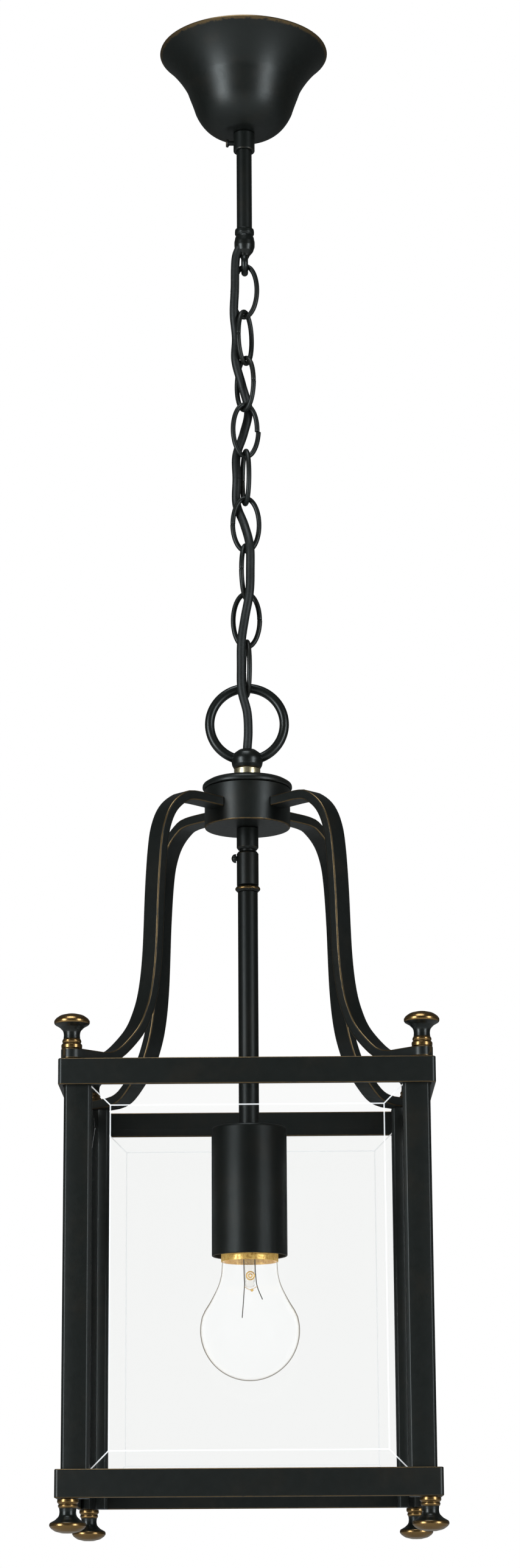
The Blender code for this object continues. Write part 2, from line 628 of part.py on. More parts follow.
# ---- hanging ring, hub and rod -----------------------------------------------------------------
def make_hanging_ring():
    ring = object_from_bmesh("hanging_ring", ring_bmesh(RING_RADIUS - RING_BAR / 2, RING_BAR, 0,
                                                        RING_CENTRE_Z, steps=28, sides=8), "bronze")
    radius = KNOB_DIAMETER / 2
    middle = KNOB_BOTTOM_Z + KNOB_HEIGHT * 0.48
    outline = [(0, KNOB_TOP_Z), (radius * 0.52, KNOB_TOP_Z), (radius * 0.82, KNOB_TOP_Z - KNOB_HEIGHT * 0.16),
               (radius * 0.97, middle + KNOB_HEIGHT * 0.16), (radius, middle),
               (radius * 0.94, middle - KNOB_HEIGHT * 0.2), (radius * 0.82, KNOB_BOTTOM_Z),
               (0, KNOB_BOTTOM_Z)]
    knob = turned("ring_knob", outline, None, sides=20, closed=False)
    add_boolean(ring, "UNION", knob)
    add_boolean(ring, "DIFFERENCE", round_cutter("knob_flex_bore", FLEX_DIAMETER + CORD_CLEARANCE,
                                                 (0, 0, KNOB_TOP_Z + CUT_PAST),
                                                 (0, 0, KNOB_BOTTOM_Z + NIPPLE_INTO_KNOB / 2)))
    add_boolean(ring, "DIFFERENCE", round_cutter("knob_socket", NIPPLE_DIAMETER + BORE_CLEARANCE,
                                                 (0, 0, KNOB_BOTTOM_Z + NIPPLE_INTO_KNOB + FIT_GAP),
                                                 (0, 0, KNOB_BOTTOM_Z - CUT_PAST)))
    return ring


def make_hub():
    bore = NIPPLE_DIAMETER + BORE_CLEARANCE
    turned("brass_collar", tube_outline(BRASS_COLLAR_DIAMETER, bore, BRASS_TOP_Z, BRASS_BOTTOM_Z), "brass")
    lid = LID_DIAMETER / 2
    turned("hub_lid", [(bore / 2, LID_TOP_Z), (lid - LID_EDGE, LID_TOP_Z),
                       (lid - LID_EDGE * 0.29, LID_TOP_Z - LID_EDGE * 0.29),
                       (lid, LID_TOP_Z - LID_EDGE), (lid, LID_BOTTOM_Z), (bore / 2, LID_BOTTOM_Z)],
           "bronze", sides=28)
    outer = HUB_DIAMETER / 2
    inner = outer - HUB_WALL
    turned("hub", [(inner, HUB_TOP_Z), (outer, HUB_TOP_Z), (outer, HUB_BOTTOM_Z + HUB_EDGE),
                   (outer - HUB_EDGE, HUB_BOTTOM_Z), (bore / 2, HUB_BOTTOM_Z),
                   (bore / 2, HUB_BOTTOM_Z + HUB_WALL), (inner, HUB_BOTTOM_Z + HUB_WALL)],
           "bronze", sides=28)
    hex_nut("hub_nut", NUT_ACROSS_FLATS, bore, HUB_BOTTOM_Z + HUB_WALL + FIT_GAP + NUT_HEIGHT, NUT_HEIGHT,
            "zinc")
    nipple_bottom = LOWER_SLEEVE_TOP_Z - (LOWER_SLEEVE_LENGTH - SPIGOT_UP) / 2
    turned("hub_nipple", tube_outline(NIPPLE_DIAMETER, NIPPLE_BORE, KNOB_BOTTOM_Z + NIPPLE_INTO_KNOB,
                                      nipple_bottom), "zinc", sides=20)


def make_rod():
    bore = NIPPLE_DIAMETER + BORE_CLEARANCE
    turned("rod_sleeve_upper", tube_outline(SLEEVE_DIAMETER, bore, UPPER_SLEEVE_TOP_Z,
                                            UPPER_SLEEVE_BOTTOM_Z, SLEEVE_EDGE), "bronze")
    sleeve = turned("rod_sleeve_lower", tube_outline(SLEEVE_DIAMETER, bore, LOWER_SLEEVE_TOP_Z,
                                                     LOWER_SLEEVE_BOTTOM_Z, SLEEVE_EDGE), "bronze")
    lock_z = LOWER_SLEEVE_TOP_Z - LOCK_BELOW_SLEEVE_TOP
    add_boolean(sleeve, "DIFFERENCE", round_cutter("lock_hole", LOCK_SHANK + BORE_CLEARANCE, (0, 0, lock_z),
                                                   (-SLEEVE_DIAMETER, 0, lock_z), sides=12))
    make_side_screw("rod_lock_screw", LOCK_SHANK, LOCK_HEAD, LOCK_HEAD_LENGTH,
                    -NIPPLE_DIAMETER / 2 - FIT_GAP, -SLEEVE_DIAMETER / 2 - FIT_GAP, lock_z, "bronze")
    bead = ROD_BEAD_DIAMETER / 2
    turned("rod_bead", [(bore / 2, ROD_BEAD_TOP_Z), (bead - ROD_BEAD_EDGE, ROD_BEAD_TOP_Z),
                        (bead, ROD_BEAD_TOP_Z - ROD_BEAD_LENGTH * 0.35),
                        (bead, ROD_BEAD_TOP_Z - ROD_BEAD_LENGTH * 0.65),
                        (bead - ROD_BEAD_EDGE, ROD_BEAD_BOTTOM_Z), (bore / 2, ROD_BEAD_BOTTOM_Z)], "bronze")
    spigot = TUBE_SPIGOT / 2
    tube = TUBE_DIAMETER / 2
    turned("lamp_tube", [(NIPPLE_BORE / 2, TUBE_TOP_Z + SPIGOT_UP), (spigot, TUBE_TOP_Z + SPIGOT_UP),
                         (spigot, TUBE_TOP_Z), (tube, TUBE_TOP_Z), (tube, TUBE_BOTTOM_Z),
                         (spigot, TUBE_BOTTOM_Z), (spigot, TUBE_BOTTOM_Z - SPIGOT_DOWN),
                         (NIPPLE_BORE / 2, TUBE_BOTTOM_Z - SPIGOT_DOWN)], "bronze")


# ---- lamp --------------------------------------------------------------------------------------
def make_lampholder():
    bore = (TUBE_SPIGOT + BORE_CLEARANCE) / 2
    cup = CUP_DIAMETER / 2
    inner_edge = CUP_EDGE + CUP_WALL / 2
    turned("lampholder_cup", [(bore, CUP_TOP_Z), (cup - CUP_EDGE, CUP_TOP_Z), (cup, CUP_TOP_Z - CUP_EDGE),
                              (cup, CUP_BOTTOM_Z), (cup - CUP_WALL, CUP_BOTTOM_Z),
                              (cup - CUP_WALL, CUP_TOP_Z - inner_edge),
                              (cup - inner_edge, CUP_TOP_Z - CUP_WALL),
                              (bore, CUP_TOP_Z - CUP_WALL)], "bronze", sides=24)
    hex_nut("cup_nut", NUT_ACROSS_FLATS, TUBE_SPIGOT + BORE_CLEARANCE, CUP_TOP_Z - CUP_WALL - FIT_GAP,
            NUT_HEIGHT, "zinc")
    boss = HOLDER_BOSS_DIAMETER / 2
    body = HOLDER_DIAMETER / 2
    shoulder = HOLDER_TOP_Z - HOLDER_BOSS_LENGTH
    mouth = HOLDER_MOUTH / 2
    web_top = TUBE_BOTTOM_Z - SPIGOT_DOWN - 5 * FIT_GAP
    turned("lampholder", [(bore, HOLDER_TOP_Z), (boss, HOLDER_TOP_Z), (boss, shoulder + HOLDER_EDGE),
                          (body - HOLDER_EDGE, shoulder), (body, shoulder - HOLDER_EDGE),
                          (body, HOLDER_MOUTH_Z),
                          (mouth, HOLDER_MOUTH_Z), (mouth, HOLDER_MOUTH_Z + HOLDER_BORE_DEPTH),
                          (0, HOLDER_MOUTH_Z + HOLDER_BORE_DEPTH), (0, web_top), (bore, web_top)],
           "porcelain", sides=20)


def make_lamp():
    cap = LAMP_CAP_DIAMETER / 2
    inside = cap - LAMP_CAP_WALL
    lower = LAMP_CAP_BOTTOM_Z
    outside = [(cap * width, LAMP_TOP_Z - LAMP_CAP_LENGTH * depth) for width, depth in (
        (0.0, 0.0), (0.34, 0.0), (0.39, 0.08), (0.85, 0.25), (1.0, 0.34), (1.0, 1.0))]
    shell_top = LAMP_TOP_Z - LAMP_CAP_LENGTH * 0.42
    turned("bulb_cap", outside + [(inside, lower), (inside, shell_top), (0, shell_top)], "lamp_cap",
           sides=18)
    neck = LAMP_NECK_DIAMETER / 2
    globe = LAMP_GLOBE_RADIUS
    centre = (0, GLOBE_CENTRE_Z)
    wall = LAMP_GLASS_WALL
    glass_top = lower + LAMP_GLASS_INTO_CAP
    shoulder = GLOBE_CENTRE_Z + globe * 0.98
    flare = [(neck + LAMP_NECK_FLARE * share, lower - LAMP_NECK_FLARE * depth)
             for share, depth in ((0.0, 0.2), (0.17, 0.85), (1.0, 1.85))]
    outer = [(neck, glass_top)] + flare + [(globe * 0.66, shoulder)]
    outer += arc_points(centre, globe, 38, -90, 7)
    inner = [(0, GLOBE_CENTRE_Z - globe + wall)]
    inner += arc_points(centre, globe - wall, -72, 38, 6)
    inner += [(globe * 0.66 - wall, shoulder)]
    inner += [(radius - wall, height - wall / 4) for radius, height in flare[::-1]]
    inner += [(neck - wall, glass_top)]
    turned("bulb_glass", outer + inner, "glass", sides=20)


# ---- frame -------------------------------------------------------------------------------------
def make_band(name, top, height):
    bm = block_bmesh((FRAME_WIDTH, FRAME_WIDTH, height), (0, 0, top - height / 2))
    upright = [edge for edge in bm.edges if abs(edge.verts[0].co.z - edge.verts[1].co.z) > height / 2]
    bmesh.ops.bevel(bm, geom=upright, offset=BAND_CORNER, segments=3, profile=0.5, affect="EDGES",
                    material=-1)
    band = object_from_bmesh(name, bm, "bronze")
    opening = object_from_bmesh(name + "_opening", block_bmesh(
        (2 * BAND_INNER, 2 * BAND_INNER, 3 * height), (0, 0, top - height / 2)), None)
    add_boolean(band, "DIFFERENCE", opening)
    return band


def make_post(corner):
    """One upright in a corner, grooved on its two inner faces for the panes."""
    angle = math.radians(CORNERS[corner])
    side_x = round(math.cos(angle) * math.sqrt(2))
    side_y = round(math.sin(angle) * math.sqrt(2))
    height = FRAME_TOP - FRAME_BOTTOM
    middle = (FRAME_TOP + FRAME_BOTTOM) / 2
    bm = block_bmesh((POST_WIDTH, POST_WIDTH, height), (side_x * POST_CENTRE, side_y * POST_CENTRE, middle))
    upright = [edge for edge in bm.edges if abs(edge.verts[0].co.z - edge.verts[1].co.z) > height / 2]
    bmesh.ops.bevel(bm, geom=upright, offset=POST_CHAMFER, segments=1, profile=0.5, affect="EDGES",
                    material=-1)
    post = object_from_bmesh("post_" + corner, bm, "bronze")
    groove = GLASS_THICKNESS + 2 * FIT_GAP
    groove_bottom = FRAME_BOTTOM + GLASS_BOTTOM_ABOVE_FRAME - FIT_GAP
    groove_top = FRAME_TOP + CUT_PAST
    groove_z = (groove_top + groove_bottom) / 2
    reach = 2 * GROOVE_DEPTH
    edge = POST_INNER + GROOVE_DEPTH - reach / 2
    for name, size, place in (
            ("across", (reach, groove, groove_top - groove_bottom), (edge, GLASS_PLANE)),
            ("along", (groove, reach, groove_top - groove_bottom), (GLASS_PLANE, edge))):
        cutter = object_from_bmesh(f"groove_{name}_{corner}", block_bmesh(
            size, (side_x * place[0], side_y * place[1], groove_z)), None)
        add_boolean(post, "DIFFERENCE", cutter)
    axis = (side_x * FINIAL_AXIS, side_y * FINIAL_AXIS)
    hole = FINIAL_PIN + BORE_CLEARANCE
    depth = FINIAL_PIN_INTO_POST + PIN_HOLE_SPARE
    add_boolean(post, "DIFFERENCE", round_cutter("pin_hole_top_" + corner, hole, (*axis, FRAME_TOP + CUT_PAST),
                                                 (*axis, FRAME_TOP - depth), sides=12))
    add_boolean(post, "DIFFERENCE", round_cutter("pin_hole_foot_" + corner, hole,
                                                 (*axis, FRAME_BOTTOM - CUT_PAST),
                                                 (*axis, FRAME_BOTTOM + depth), sides=12))
    return post


def make_pane(side):
    width = 2 * (POST_INNER + GROOVE_DEPTH - FIT_GAP)
    top = FRAME_TOP - GLASS_TOP_BELOW_FRAME
    bottom = FRAME_BOTTOM + GLASS_BOTTOM_ABOVE_FRAME
    bm = block_bmesh((width, GLASS_THICKNESS, top - bottom), (0, -GLASS_PLANE, (top + bottom) / 2))
    bm.transform(Matrix.Rotation(math.radians(SIDES[side]), 4, "Z"))
    return object_from_bmesh("glass_" + side, bm, "glass")


def knob_outline(height, pin_length):
    """A turned knob that stands on its pin: two beads, a waist and a mushroom head."""
    bead = KNOB_BEAD_DIAMETER / 2
    neck = KNOB_NECK_DIAMETER / 2
    head = KNOB_HEAD_DIAMETER / 2
    pin = FINIAL_PIN / 2
    return [(0, -pin_length), (pin, -pin_length), (pin, 0), (bead, 0), (bead, height * 0.12),
            (bead - KNOB_BEAD_STEP, height * 0.16), (bead - KNOB_BEAD_STEP, height * 0.25),
            (neck, height * 0.33), (neck, height * 0.45), (head * 0.72, height * 0.58), (head, height * 0.71),
            (head, height * 0.81), (head * 0.78, height * 0.93), (head * 0.4, height), (0, height)]


def make_finials_and_feet(corner):
    angle = math.radians(CORNERS[corner])
    axis = Vector((math.cos(angle), math.sin(angle), 0)) * FINIAL_AXIS_RADIUS
    pin = ARM_THICKNESS + 2 * FIT_GAP + FINIAL_PIN_INTO_POST
    finial = turned("top_finial_" + corner, knob_outline(FINIAL_HEIGHT, pin), "brass", sides=12, closed=False)
    finial.location = axis + Vector((0, 0, FINIAL_BASE_Z))
    bm = turned_bmesh(knob_outline(FOOT_HEIGHT, FINIAL_PIN_INTO_POST), 12, closed=False)
    bm.transform(Matrix.Rotation(math.pi, 4, "X"))
    foot = object_from_bmesh("foot_" + corner, bm, "brass")
    foot.location = axis + Vector((0, 0, FOOT_TOP_Z))


# ---- arms --------------------------------------------------------------------------------------
def arm_middle_line():
    """The bar's middle line as (radius, height): level out of the hub, a tight bend down, a long
    nearly upright drop, a bend outwards and a level pad over the corner post."""
    hub_z = HUB_TOP_Z - ARM_HUB_DROP
    start = (HUB_DIAMETER / 2 + FIT_GAP, hub_z)
    drop = hub_z - ARM_PAD_Z
    shoulder = ARM_SHOULDER_RADIUS
    knee = ARM_KNEE_RADIUS
    pad_start = FINIAL_AXIS_RADIUS - ARM_PAD_REACH
    return [start, (shoulder - 0.0262, hub_z - 0.0002), (shoulder - 0.0172, hub_z - 0.0033),
            (shoulder - 0.0085, hub_z - 0.0110), (shoulder - 0.0030, hub_z - 0.0220),
            (shoulder - 0.0002, hub_z - 0.0360), (shoulder + 0.0020, hub_z - drop * 0.36),
            (shoulder + 0.0041, hub_z - drop * 0.60), (knee, hub_z - drop * 0.74),
            (knee + 0.0053, hub_z - drop * 0.83), (knee + 0.0120, hub_z - drop * 0.895),
            (pad_start - 0.0090, ARM_PAD_Z + 0.0060), (pad_start - 0.0010, ARM_PAD_Z + 0.0014),
            (pad_start + 0.0070, ARM_PAD_Z)]


def make_arm(corner):
    """A flat bar swept along its middle line, with a round end under the finial."""
    line = arm_middle_line()
    half_width = ARM_WIDTH / 2
    stations = [(Vector((radius, 0, height)), half_width) for radius, height in line]
    for share in (0.0, 0.5, 0.8, 0.95):
        reach = half_width * share
        width = math.sqrt(half_width ** 2 - reach ** 2)
        stations.append((Vector((FINIAL_AXIS_RADIUS + reach, 0, ARM_PAD_Z)), width))
    half = ARM_THICKNESS / 2
    edge = ARM_EDGE
    bm = bmesh.new()
    loops = []
    for index, (centre, width) in enumerate(stations):
        before = stations[max(index - 1, 0)][0]
        after = stations[min(index + 1, len(stations) - 1)][0]
        along = (after - before).normalized()
        up = Vector((-along.z, 0, along.x))
        corner_points = [(-width + edge, half), (-width, half - edge), (-width, edge - half),
                         (-width + edge, -half), (width - edge, -half), (width, edge - half),
                         (width, half - edge), (width - edge, half)]
        loops.append([bm.verts.new(centre + up * b + Vector((0, a, 0))) for a, b in corner_points])
    for loop, following in zip(loops, loops[1:]):
        for k in range(8):
            bm.faces.new((loop[k], loop[(k + 1) % 8], following[(k + 1) % 8], following[k]))
    bm.faces.new(loops[0])
    bm.faces.new(loops[-1])
    bm.transform(Matrix.Rotation(math.radians(CORNERS[corner]), 4, "Z"))
    arm = object_from_bmesh("arm_" + corner, bm, "bronze")
    angle = math.radians(CORNERS[corner])
    axis = Vector((math.cos(angle), math.sin(angle), 0)) * FINIAL_AXIS_RADIUS
    add_boolean(arm, "DIFFERENCE", round_cutter(
        "pad_hole_" + corner, FINIAL_PIN + BORE_CLEARANCE,
        axis + Vector((0, 0, ARM_PAD_Z + ARM_THICKNESS)), axis + Vector((0, 0, ARM_PAD_Z - ARM_THICKNESS)),
        sides=12))
    return arm


def main():
    clear_scene()
    make_ceiling_plate()
    make_stem_bridge()
    make_terminal_block()
    hex_nut("stem_nut", NUT_ACROSS_FLATS, STEM_DIAMETER + BORE_CLEARANCE,
            BRIDGE_WALL - BRIDGE_DROP + FIT_GAP + NUT_HEIGHT, NUT_HEIGHT, "zinc")
    make_canopy()
    make_canopy_collar()
    make_thumb_screw()
    make_stem_tube()
    make_stem_eye()
    for number in range(1, LINK_COUNT + 1):
        make_chain_link(number)
    make_flex()
    make_hanging_ring()
    make_hub()
    make_rod()
    make_lampholder()
    make_lamp()
    make_band("top_band", FRAME_TOP, TOP_BAND_HEIGHT)
    make_band("bottom_band", FRAME_BOTTOM + BOTTOM_BAND_HEIGHT, BOTTOM_BAND_HEIGHT)
    for corner in CORNERS:
        make_post(corner)
        make_arm(corner)
        make_finials_and_feet(corner)
    for side in SIDES:
        make_pane(side)


main()
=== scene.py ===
import json
import math

import bmesh
import bpy
from mathutils import Matrix, Vector
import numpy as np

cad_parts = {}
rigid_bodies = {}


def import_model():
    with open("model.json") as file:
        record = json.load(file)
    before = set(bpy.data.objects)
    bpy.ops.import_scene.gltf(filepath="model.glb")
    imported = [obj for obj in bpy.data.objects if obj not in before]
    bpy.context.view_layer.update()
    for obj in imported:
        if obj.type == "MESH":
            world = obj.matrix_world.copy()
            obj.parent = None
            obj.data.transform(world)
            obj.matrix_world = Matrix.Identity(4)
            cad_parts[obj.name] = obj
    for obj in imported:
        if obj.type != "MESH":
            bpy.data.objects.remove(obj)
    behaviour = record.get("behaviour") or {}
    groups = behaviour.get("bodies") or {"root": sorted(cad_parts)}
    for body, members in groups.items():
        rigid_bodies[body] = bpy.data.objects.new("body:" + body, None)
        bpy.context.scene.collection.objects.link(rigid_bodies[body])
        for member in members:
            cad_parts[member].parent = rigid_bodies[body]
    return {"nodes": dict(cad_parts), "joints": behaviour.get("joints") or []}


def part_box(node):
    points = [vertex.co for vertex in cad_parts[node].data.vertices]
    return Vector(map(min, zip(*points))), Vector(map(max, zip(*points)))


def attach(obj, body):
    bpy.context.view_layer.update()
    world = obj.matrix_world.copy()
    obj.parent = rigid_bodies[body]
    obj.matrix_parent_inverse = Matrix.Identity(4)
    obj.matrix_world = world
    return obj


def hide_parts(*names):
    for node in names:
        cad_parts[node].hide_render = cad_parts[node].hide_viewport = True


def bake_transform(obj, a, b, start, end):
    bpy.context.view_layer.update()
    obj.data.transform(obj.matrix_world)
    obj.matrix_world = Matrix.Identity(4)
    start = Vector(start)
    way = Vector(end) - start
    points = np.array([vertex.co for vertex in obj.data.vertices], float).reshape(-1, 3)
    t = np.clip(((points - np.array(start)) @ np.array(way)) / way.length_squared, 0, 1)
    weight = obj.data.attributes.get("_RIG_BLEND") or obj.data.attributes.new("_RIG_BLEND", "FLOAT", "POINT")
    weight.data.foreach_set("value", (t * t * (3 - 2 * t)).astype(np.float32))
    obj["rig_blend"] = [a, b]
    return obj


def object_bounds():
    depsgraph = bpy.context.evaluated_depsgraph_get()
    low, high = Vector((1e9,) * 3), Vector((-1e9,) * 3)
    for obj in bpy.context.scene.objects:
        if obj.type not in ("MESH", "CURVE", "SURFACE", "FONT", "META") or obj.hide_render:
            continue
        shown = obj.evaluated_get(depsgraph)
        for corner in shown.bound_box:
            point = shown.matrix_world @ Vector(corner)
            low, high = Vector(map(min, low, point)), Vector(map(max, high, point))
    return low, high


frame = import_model()
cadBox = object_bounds()
print("frame loaded,", len(frame["nodes"]), "nodes")


# a shader socket that does arithmetic, and one call for any other node
class Value:
    def __init__(self, paint, socket):
        self.paint = paint
        self.socket = socket

    def calc(self, operation, *values):
        return self.paint.node("ShaderNodeMath", {"operation": operation}, dict(enumerate(values)))

    def __add__(self, other):
        return self.calc("ADD", self, other)

    def __radd__(self, other):
        return self.calc("ADD", other, self)

    def __sub__(self, other):
        return self.calc("SUBTRACT", self, other)

    def __mul__(self, other):
        return self.calc("MULTIPLY", self, other)

    def clamped(self):
        return self.calc("MINIMUM", self.calc("MAXIMUM", self, 0.0), 1.0)

    def between(self, low, high):  # 0 under low, 1 over high, smooth in between
        return self.paint.node("ShaderNodeMapRange", {"interpolation_type": "SMOOTHSTEP"},
                               {"Value": self, "From Min": low, "From Max": high})


class Paint:
    def __init__(self, name):
        self.material = bpy.data.materials.new(name)
        self.material.use_nodes = True
        self.tree = self.material.node_tree
        self.tree.nodes.clear()
        self.output = self.tree.nodes.new("ShaderNodeOutputMaterial")

    def node(self, kind, settings=None, sockets=None, out=0):
        made = self.tree.nodes.new(kind)
        for key, value in (settings or {}).items():
            if key == "stops":
                ramp = made.color_ramp
                while len(ramp.elements) < len(value):
                    ramp.elements.new(0.5)
                for element, (position, colour) in zip(ramp.elements, value):
                    element.position = position
                    element.color = colour
            else:
                setattr(made, key, value)
        for key, value in (sockets or {}).items():
            if isinstance(value, Value):
                self.tree.links.new(value.socket, made.inputs[key])
            elif value is not None:
                made.inputs[key].default_value = value
        return Value(self, made.outputs[out])

    def place(self):
        return self.node("ShaderNodeTexCoord", out="Object")

    def noise(self, scale, detail=3.0, rough=0.5, stretch=(1, 1, 1)):
        where = self.node("ShaderNodeMapping", None, {"Vector": self.place(), "Scale": stretch})
        return self.node("ShaderNodeTexNoise", None,
                         {"Vector": where, "Scale": scale, "Detail": detail, "Roughness": rough})

    def attribute(self, name):
        return self.node("ShaderNodeAttribute", {"attribute_name": name}, out="Fac")

    def mix(self, factor, first, second):
        sockets = {"Factor": factor, 6: first, 7: second}
        return self.node("ShaderNodeMix", {"data_type": "RGBA"}, sockets, out=2)

    def bump(self, height, distance):
        return self.node("ShaderNodeBump", None, {"Height": height, "Distance": distance, "Strength": 1.0})

    def principled(self, sockets):
        return self.node("ShaderNodeBsdfPrincipled", None, sockets)

    def finish(self, shader):
        self.tree.links.new(shader.socket, self.output.inputs["Surface"])
        return self.material


def rgb(*colour):
    return (*colour, 1.0)


# nearly black satin bronze: cloudy brown and green tints, gold where the edges are rubbed
bronzeLook = {"dark": rgb(0.0068, 0.0084, 0.0070), "brown": rgb(0.0135, 0.0120, 0.0085),
              "gold": rgb(0.1350, 0.0900, 0.0430), "roughness": 0.30, "metallic": 0.45, "grain": 0.00002}


def bronzeFinish(name, wear=1.0, roughness=0.0, gold=None):
    look = bronzeLook
    paint = Paint(name)
    cloud = paint.noise(38.0, 4.0, 0.6)
    grain = paint.noise(1500.0, 2.0)
    scuff = paint.noise(260.0, 4.0, 0.65)
    rub = (paint.attribute("rub") * wear - scuff.between(0.42, 0.72) * 0.55).between(0.05, 0.75)
    base = paint.mix(cloud.between(0.45, 0.80), look["dark"], look["brown"])
    colour = paint.mix(rub, base, gold or look["gold"])
    shade = paint.principled({
        "Base Color": colour,
        "Metallic": look["metallic"] + rub * 0.5,
        "Roughness": look["roughness"] + roughness + scuff * 0.12 + grain * 0.05 - rub * 0.04,
        "Specular IOR Level": 0.5,
        "Normal": paint.bump(grain + cloud * 2.0, look["grain"])})
    return paint.finish(shade)


# aged brass: warm, darker in cloudy patches, fine turning marks
brassLook = {"bright": rgb(0.6800, 0.5900, 0.3800), "aged": rgb(0.3000, 0.2400, 0.1300), "roughness": 0.24}


def brassFinish(name):
    look = brassLook
    paint = Paint(name)
    cloud = paint.noise(160.0, 4.0, 0.6)
    turning = paint.noise(60.0, 3.0, 0.5, (1, 1, 60))
    colour = paint.mix(cloud.between(0.38, 0.68), look["bright"], look["aged"])
    shade = paint.principled({
        "Base Color": colour, "Metallic": 0.95,
        "Roughness": look["roughness"] + cloud * 0.14,
        "Normal": paint.bump(turning, 0.00003)})
    return paint.finish(shade)


steelLook = {"light": rgb(0.4600, 0.4550, 0.4300), "dull": rgb(0.2600, 0.2550, 0.2350), "roughness": 0.32}


def steelFinish(name):
    look = steelLook
    paint = Paint(name)
    spangle = paint.node("ShaderNodeTexVoronoi", None, {"Vector": paint.place(), "Scale": 260.0})
    cloud = paint.noise(90.0, 3.0)
    colour = paint.mix(cloud.between(0.35, 0.75), look["light"], look["dull"])
    shade = paint.principled({
        "Base Color": colour, "Metallic": 0.95,
        "Roughness": look["roughness"] + spangle * 0.10 + cloud * 0.1,
        "Normal": paint.bump(paint.noise(700.0, 3.0), 0.00005)})
    return paint.finish(shade)


def mouldedFinish(name, light, dark, roughness, bumpHeight):
    paint = Paint(name)
    cloud = paint.noise(120.0, 3.0)
    colour = paint.mix(cloud.between(0.35, 0.75), light, dark)
    shade = paint.principled({
        "Base Color": colour, "Roughness": roughness + cloud * 0.08,
        "Normal": paint.bump(paint.noise(900.0, 3.0), bumpHeight)})
    return paint.finish(shade)


# the flex's smooth black sheath
def flexFinish(name):
    paint = Paint(name)
    mottle = paint.noise(420.0, 3.0, 0.6)
    smear = paint.noise(70.0, 2.0)
    colour = paint.mix(mottle.between(0.4, 0.8), rgb(0.0060, 0.0070, 0.0062), rgb(0.0120, 0.0135, 0.0120))
    shade = paint.principled({
        "Base Color": colour, "Roughness": 0.42 + smear * 0.16,
        "Specular IOR Level": 0.28, "Normal": paint.bump(mottle, 0.00003)})
    return paint.finish(shade)


# clear sheet seen through without bending: mostly open, a mirror film that grows at a flat angle
def clearFinish(name, tint, film, roughness, smudge):
    paint = Paint(name)
    opening = paint.node("ShaderNodeBsdfTransparent", None, {"Color": tint})
    mirror = paint.node("ShaderNodeBsdfAnisotropic", None, {"Color": rgb(1, 1, 1), "Roughness": roughness})
    edge = paint.node("ShaderNodeFresnel", None, {"IOR": 1.5})
    amount = (edge * film + paint.noise(9.0, 3.0).between(0.5, 0.9) * smudge).clamped()
    return paint.finish(paint.node("ShaderNodeMixShader", None, {0: amount, 1: opening, 2: mirror}))


# a painted highlight: a grey line, self-lit through emission, where a pane's bevel catches the light
def glowLineFinish(name, colour, cover):
    paint = Paint(name)
    opening = paint.node("ShaderNodeBsdfTransparent", None, {"Color": rgb(1, 1, 1)})
    grey = paint.principled({"Base Color": colour, "Roughness": 0.35, "Emission Color": colour,
                             "Emission Strength": 0.75})
    amount = (paint.noise(30.0, 2.0) * 0.2 + cover).clamped()
    return paint.finish(paint.node("ShaderNodeMixShader", None, {0: amount, 1: opening, 2: grey}))


# the bulb's clear envelope: open in the middle with a faint painted white glow, and painted tan and grey
# reflections at its outline, all self-lit through emission
envelopePaintedLightLook = {"glow": 0.04, "tan": rgb(0.80, 0.70, 0.56), "outline": rgb(0.12, 0.09, 0.06)}


def bulbPaintedLightFinish(name):
    look = envelopePaintedLightLook
    paint = Paint(name)
    opening = paint.node("ShaderNodeBsdfTransparent", None, {"Color": rgb(1, 1, 1)})
    facing = paint.node("ShaderNodeLayerWeight", None, {"Blend": 0.5}, out="Facing")
    smear = paint.noise(45.0, 3.0, 0.6).between(0.4, 0.8)
    # the tan and the dark outline are painted reflections at the glass's flat-angle edge, shown through
    # emission
    tan = facing.between(0.40, 0.85) * (smear * 0.5 + 0.3)
    outline = facing.between(0.66, 0.92)
    colour = paint.mix(outline, paint.mix(tan, rgb(1, 1, 1), look["tan"]), look["outline"])
    glass = paint.principled({"Base Color": colour, "Roughness": 0.08, "Emission Color": colour,
                              "Emission Strength": 0.70})
    amount = (tan * 0.3 + outline * 0.8 + look["glow"]).clamped()
    return paint.finish(paint.node("ShaderNodeMixShader", None, {0: amount, 1: opening, 2: glass}))


# the amber of the holder's screw ring, the supports and the filament, with a painted glow through emission
def amberGlowFinish(name):
    paint = Paint(name)
    cloud = paint.noise(900.0, 3.0).between(0.4, 0.7)
    colour = paint.mix(cloud, rgb(0.85, 0.55, 0.16), rgb(0.42, 0.22, 0.05))
    shade = paint.principled({"Base Color": colour, "Metallic": 0.6, "Roughness": 0.25 + cloud * 0.1,
                              "Emission Color": colour, "Emission Strength": 0.35})
    return paint.finish(shade)


bronze = bronzeFinish("satinBronze")
castBronze = bronzeFinish("castBronze", wear=0.8, roughness=-0.07)
wireBronze = bronzeFinish("chainWireBronze", wear=0.5, roughness=0.03)
knobBronze = bronzeFinish("knobBronze", wear=1.5, roughness=-0.09, gold=rgb(0.2100, 0.1250, 0.0480))
brass = brassFinish("agedBrass")
zinc = steelFinish("zincSteel")
capMetal = steelFinish("lampCapMetal")
porcelain = mouldedFinish("porcelain", rgb(0.66, 0.64, 0.58), rgb(0.58, 0.55, 0.48), 0.16, 0.00003)
plastic = mouldedFinish("terminalPlastic", rgb(0.72, 0.71, 0.67), rgb(0.62, 0.60, 0.54), 0.42, 0.00006)
flexBlack = flexFinish("flexSheath")
paneClear = clearFinish("paneGlass", rgb(0.988, 0.990, 0.988), 0.35, 0.03, 0.004)
stemClear = clearFinish("bulbStemGlass", rgb(0.960, 0.950, 0.930), 0.30, 0.05, 0.002)
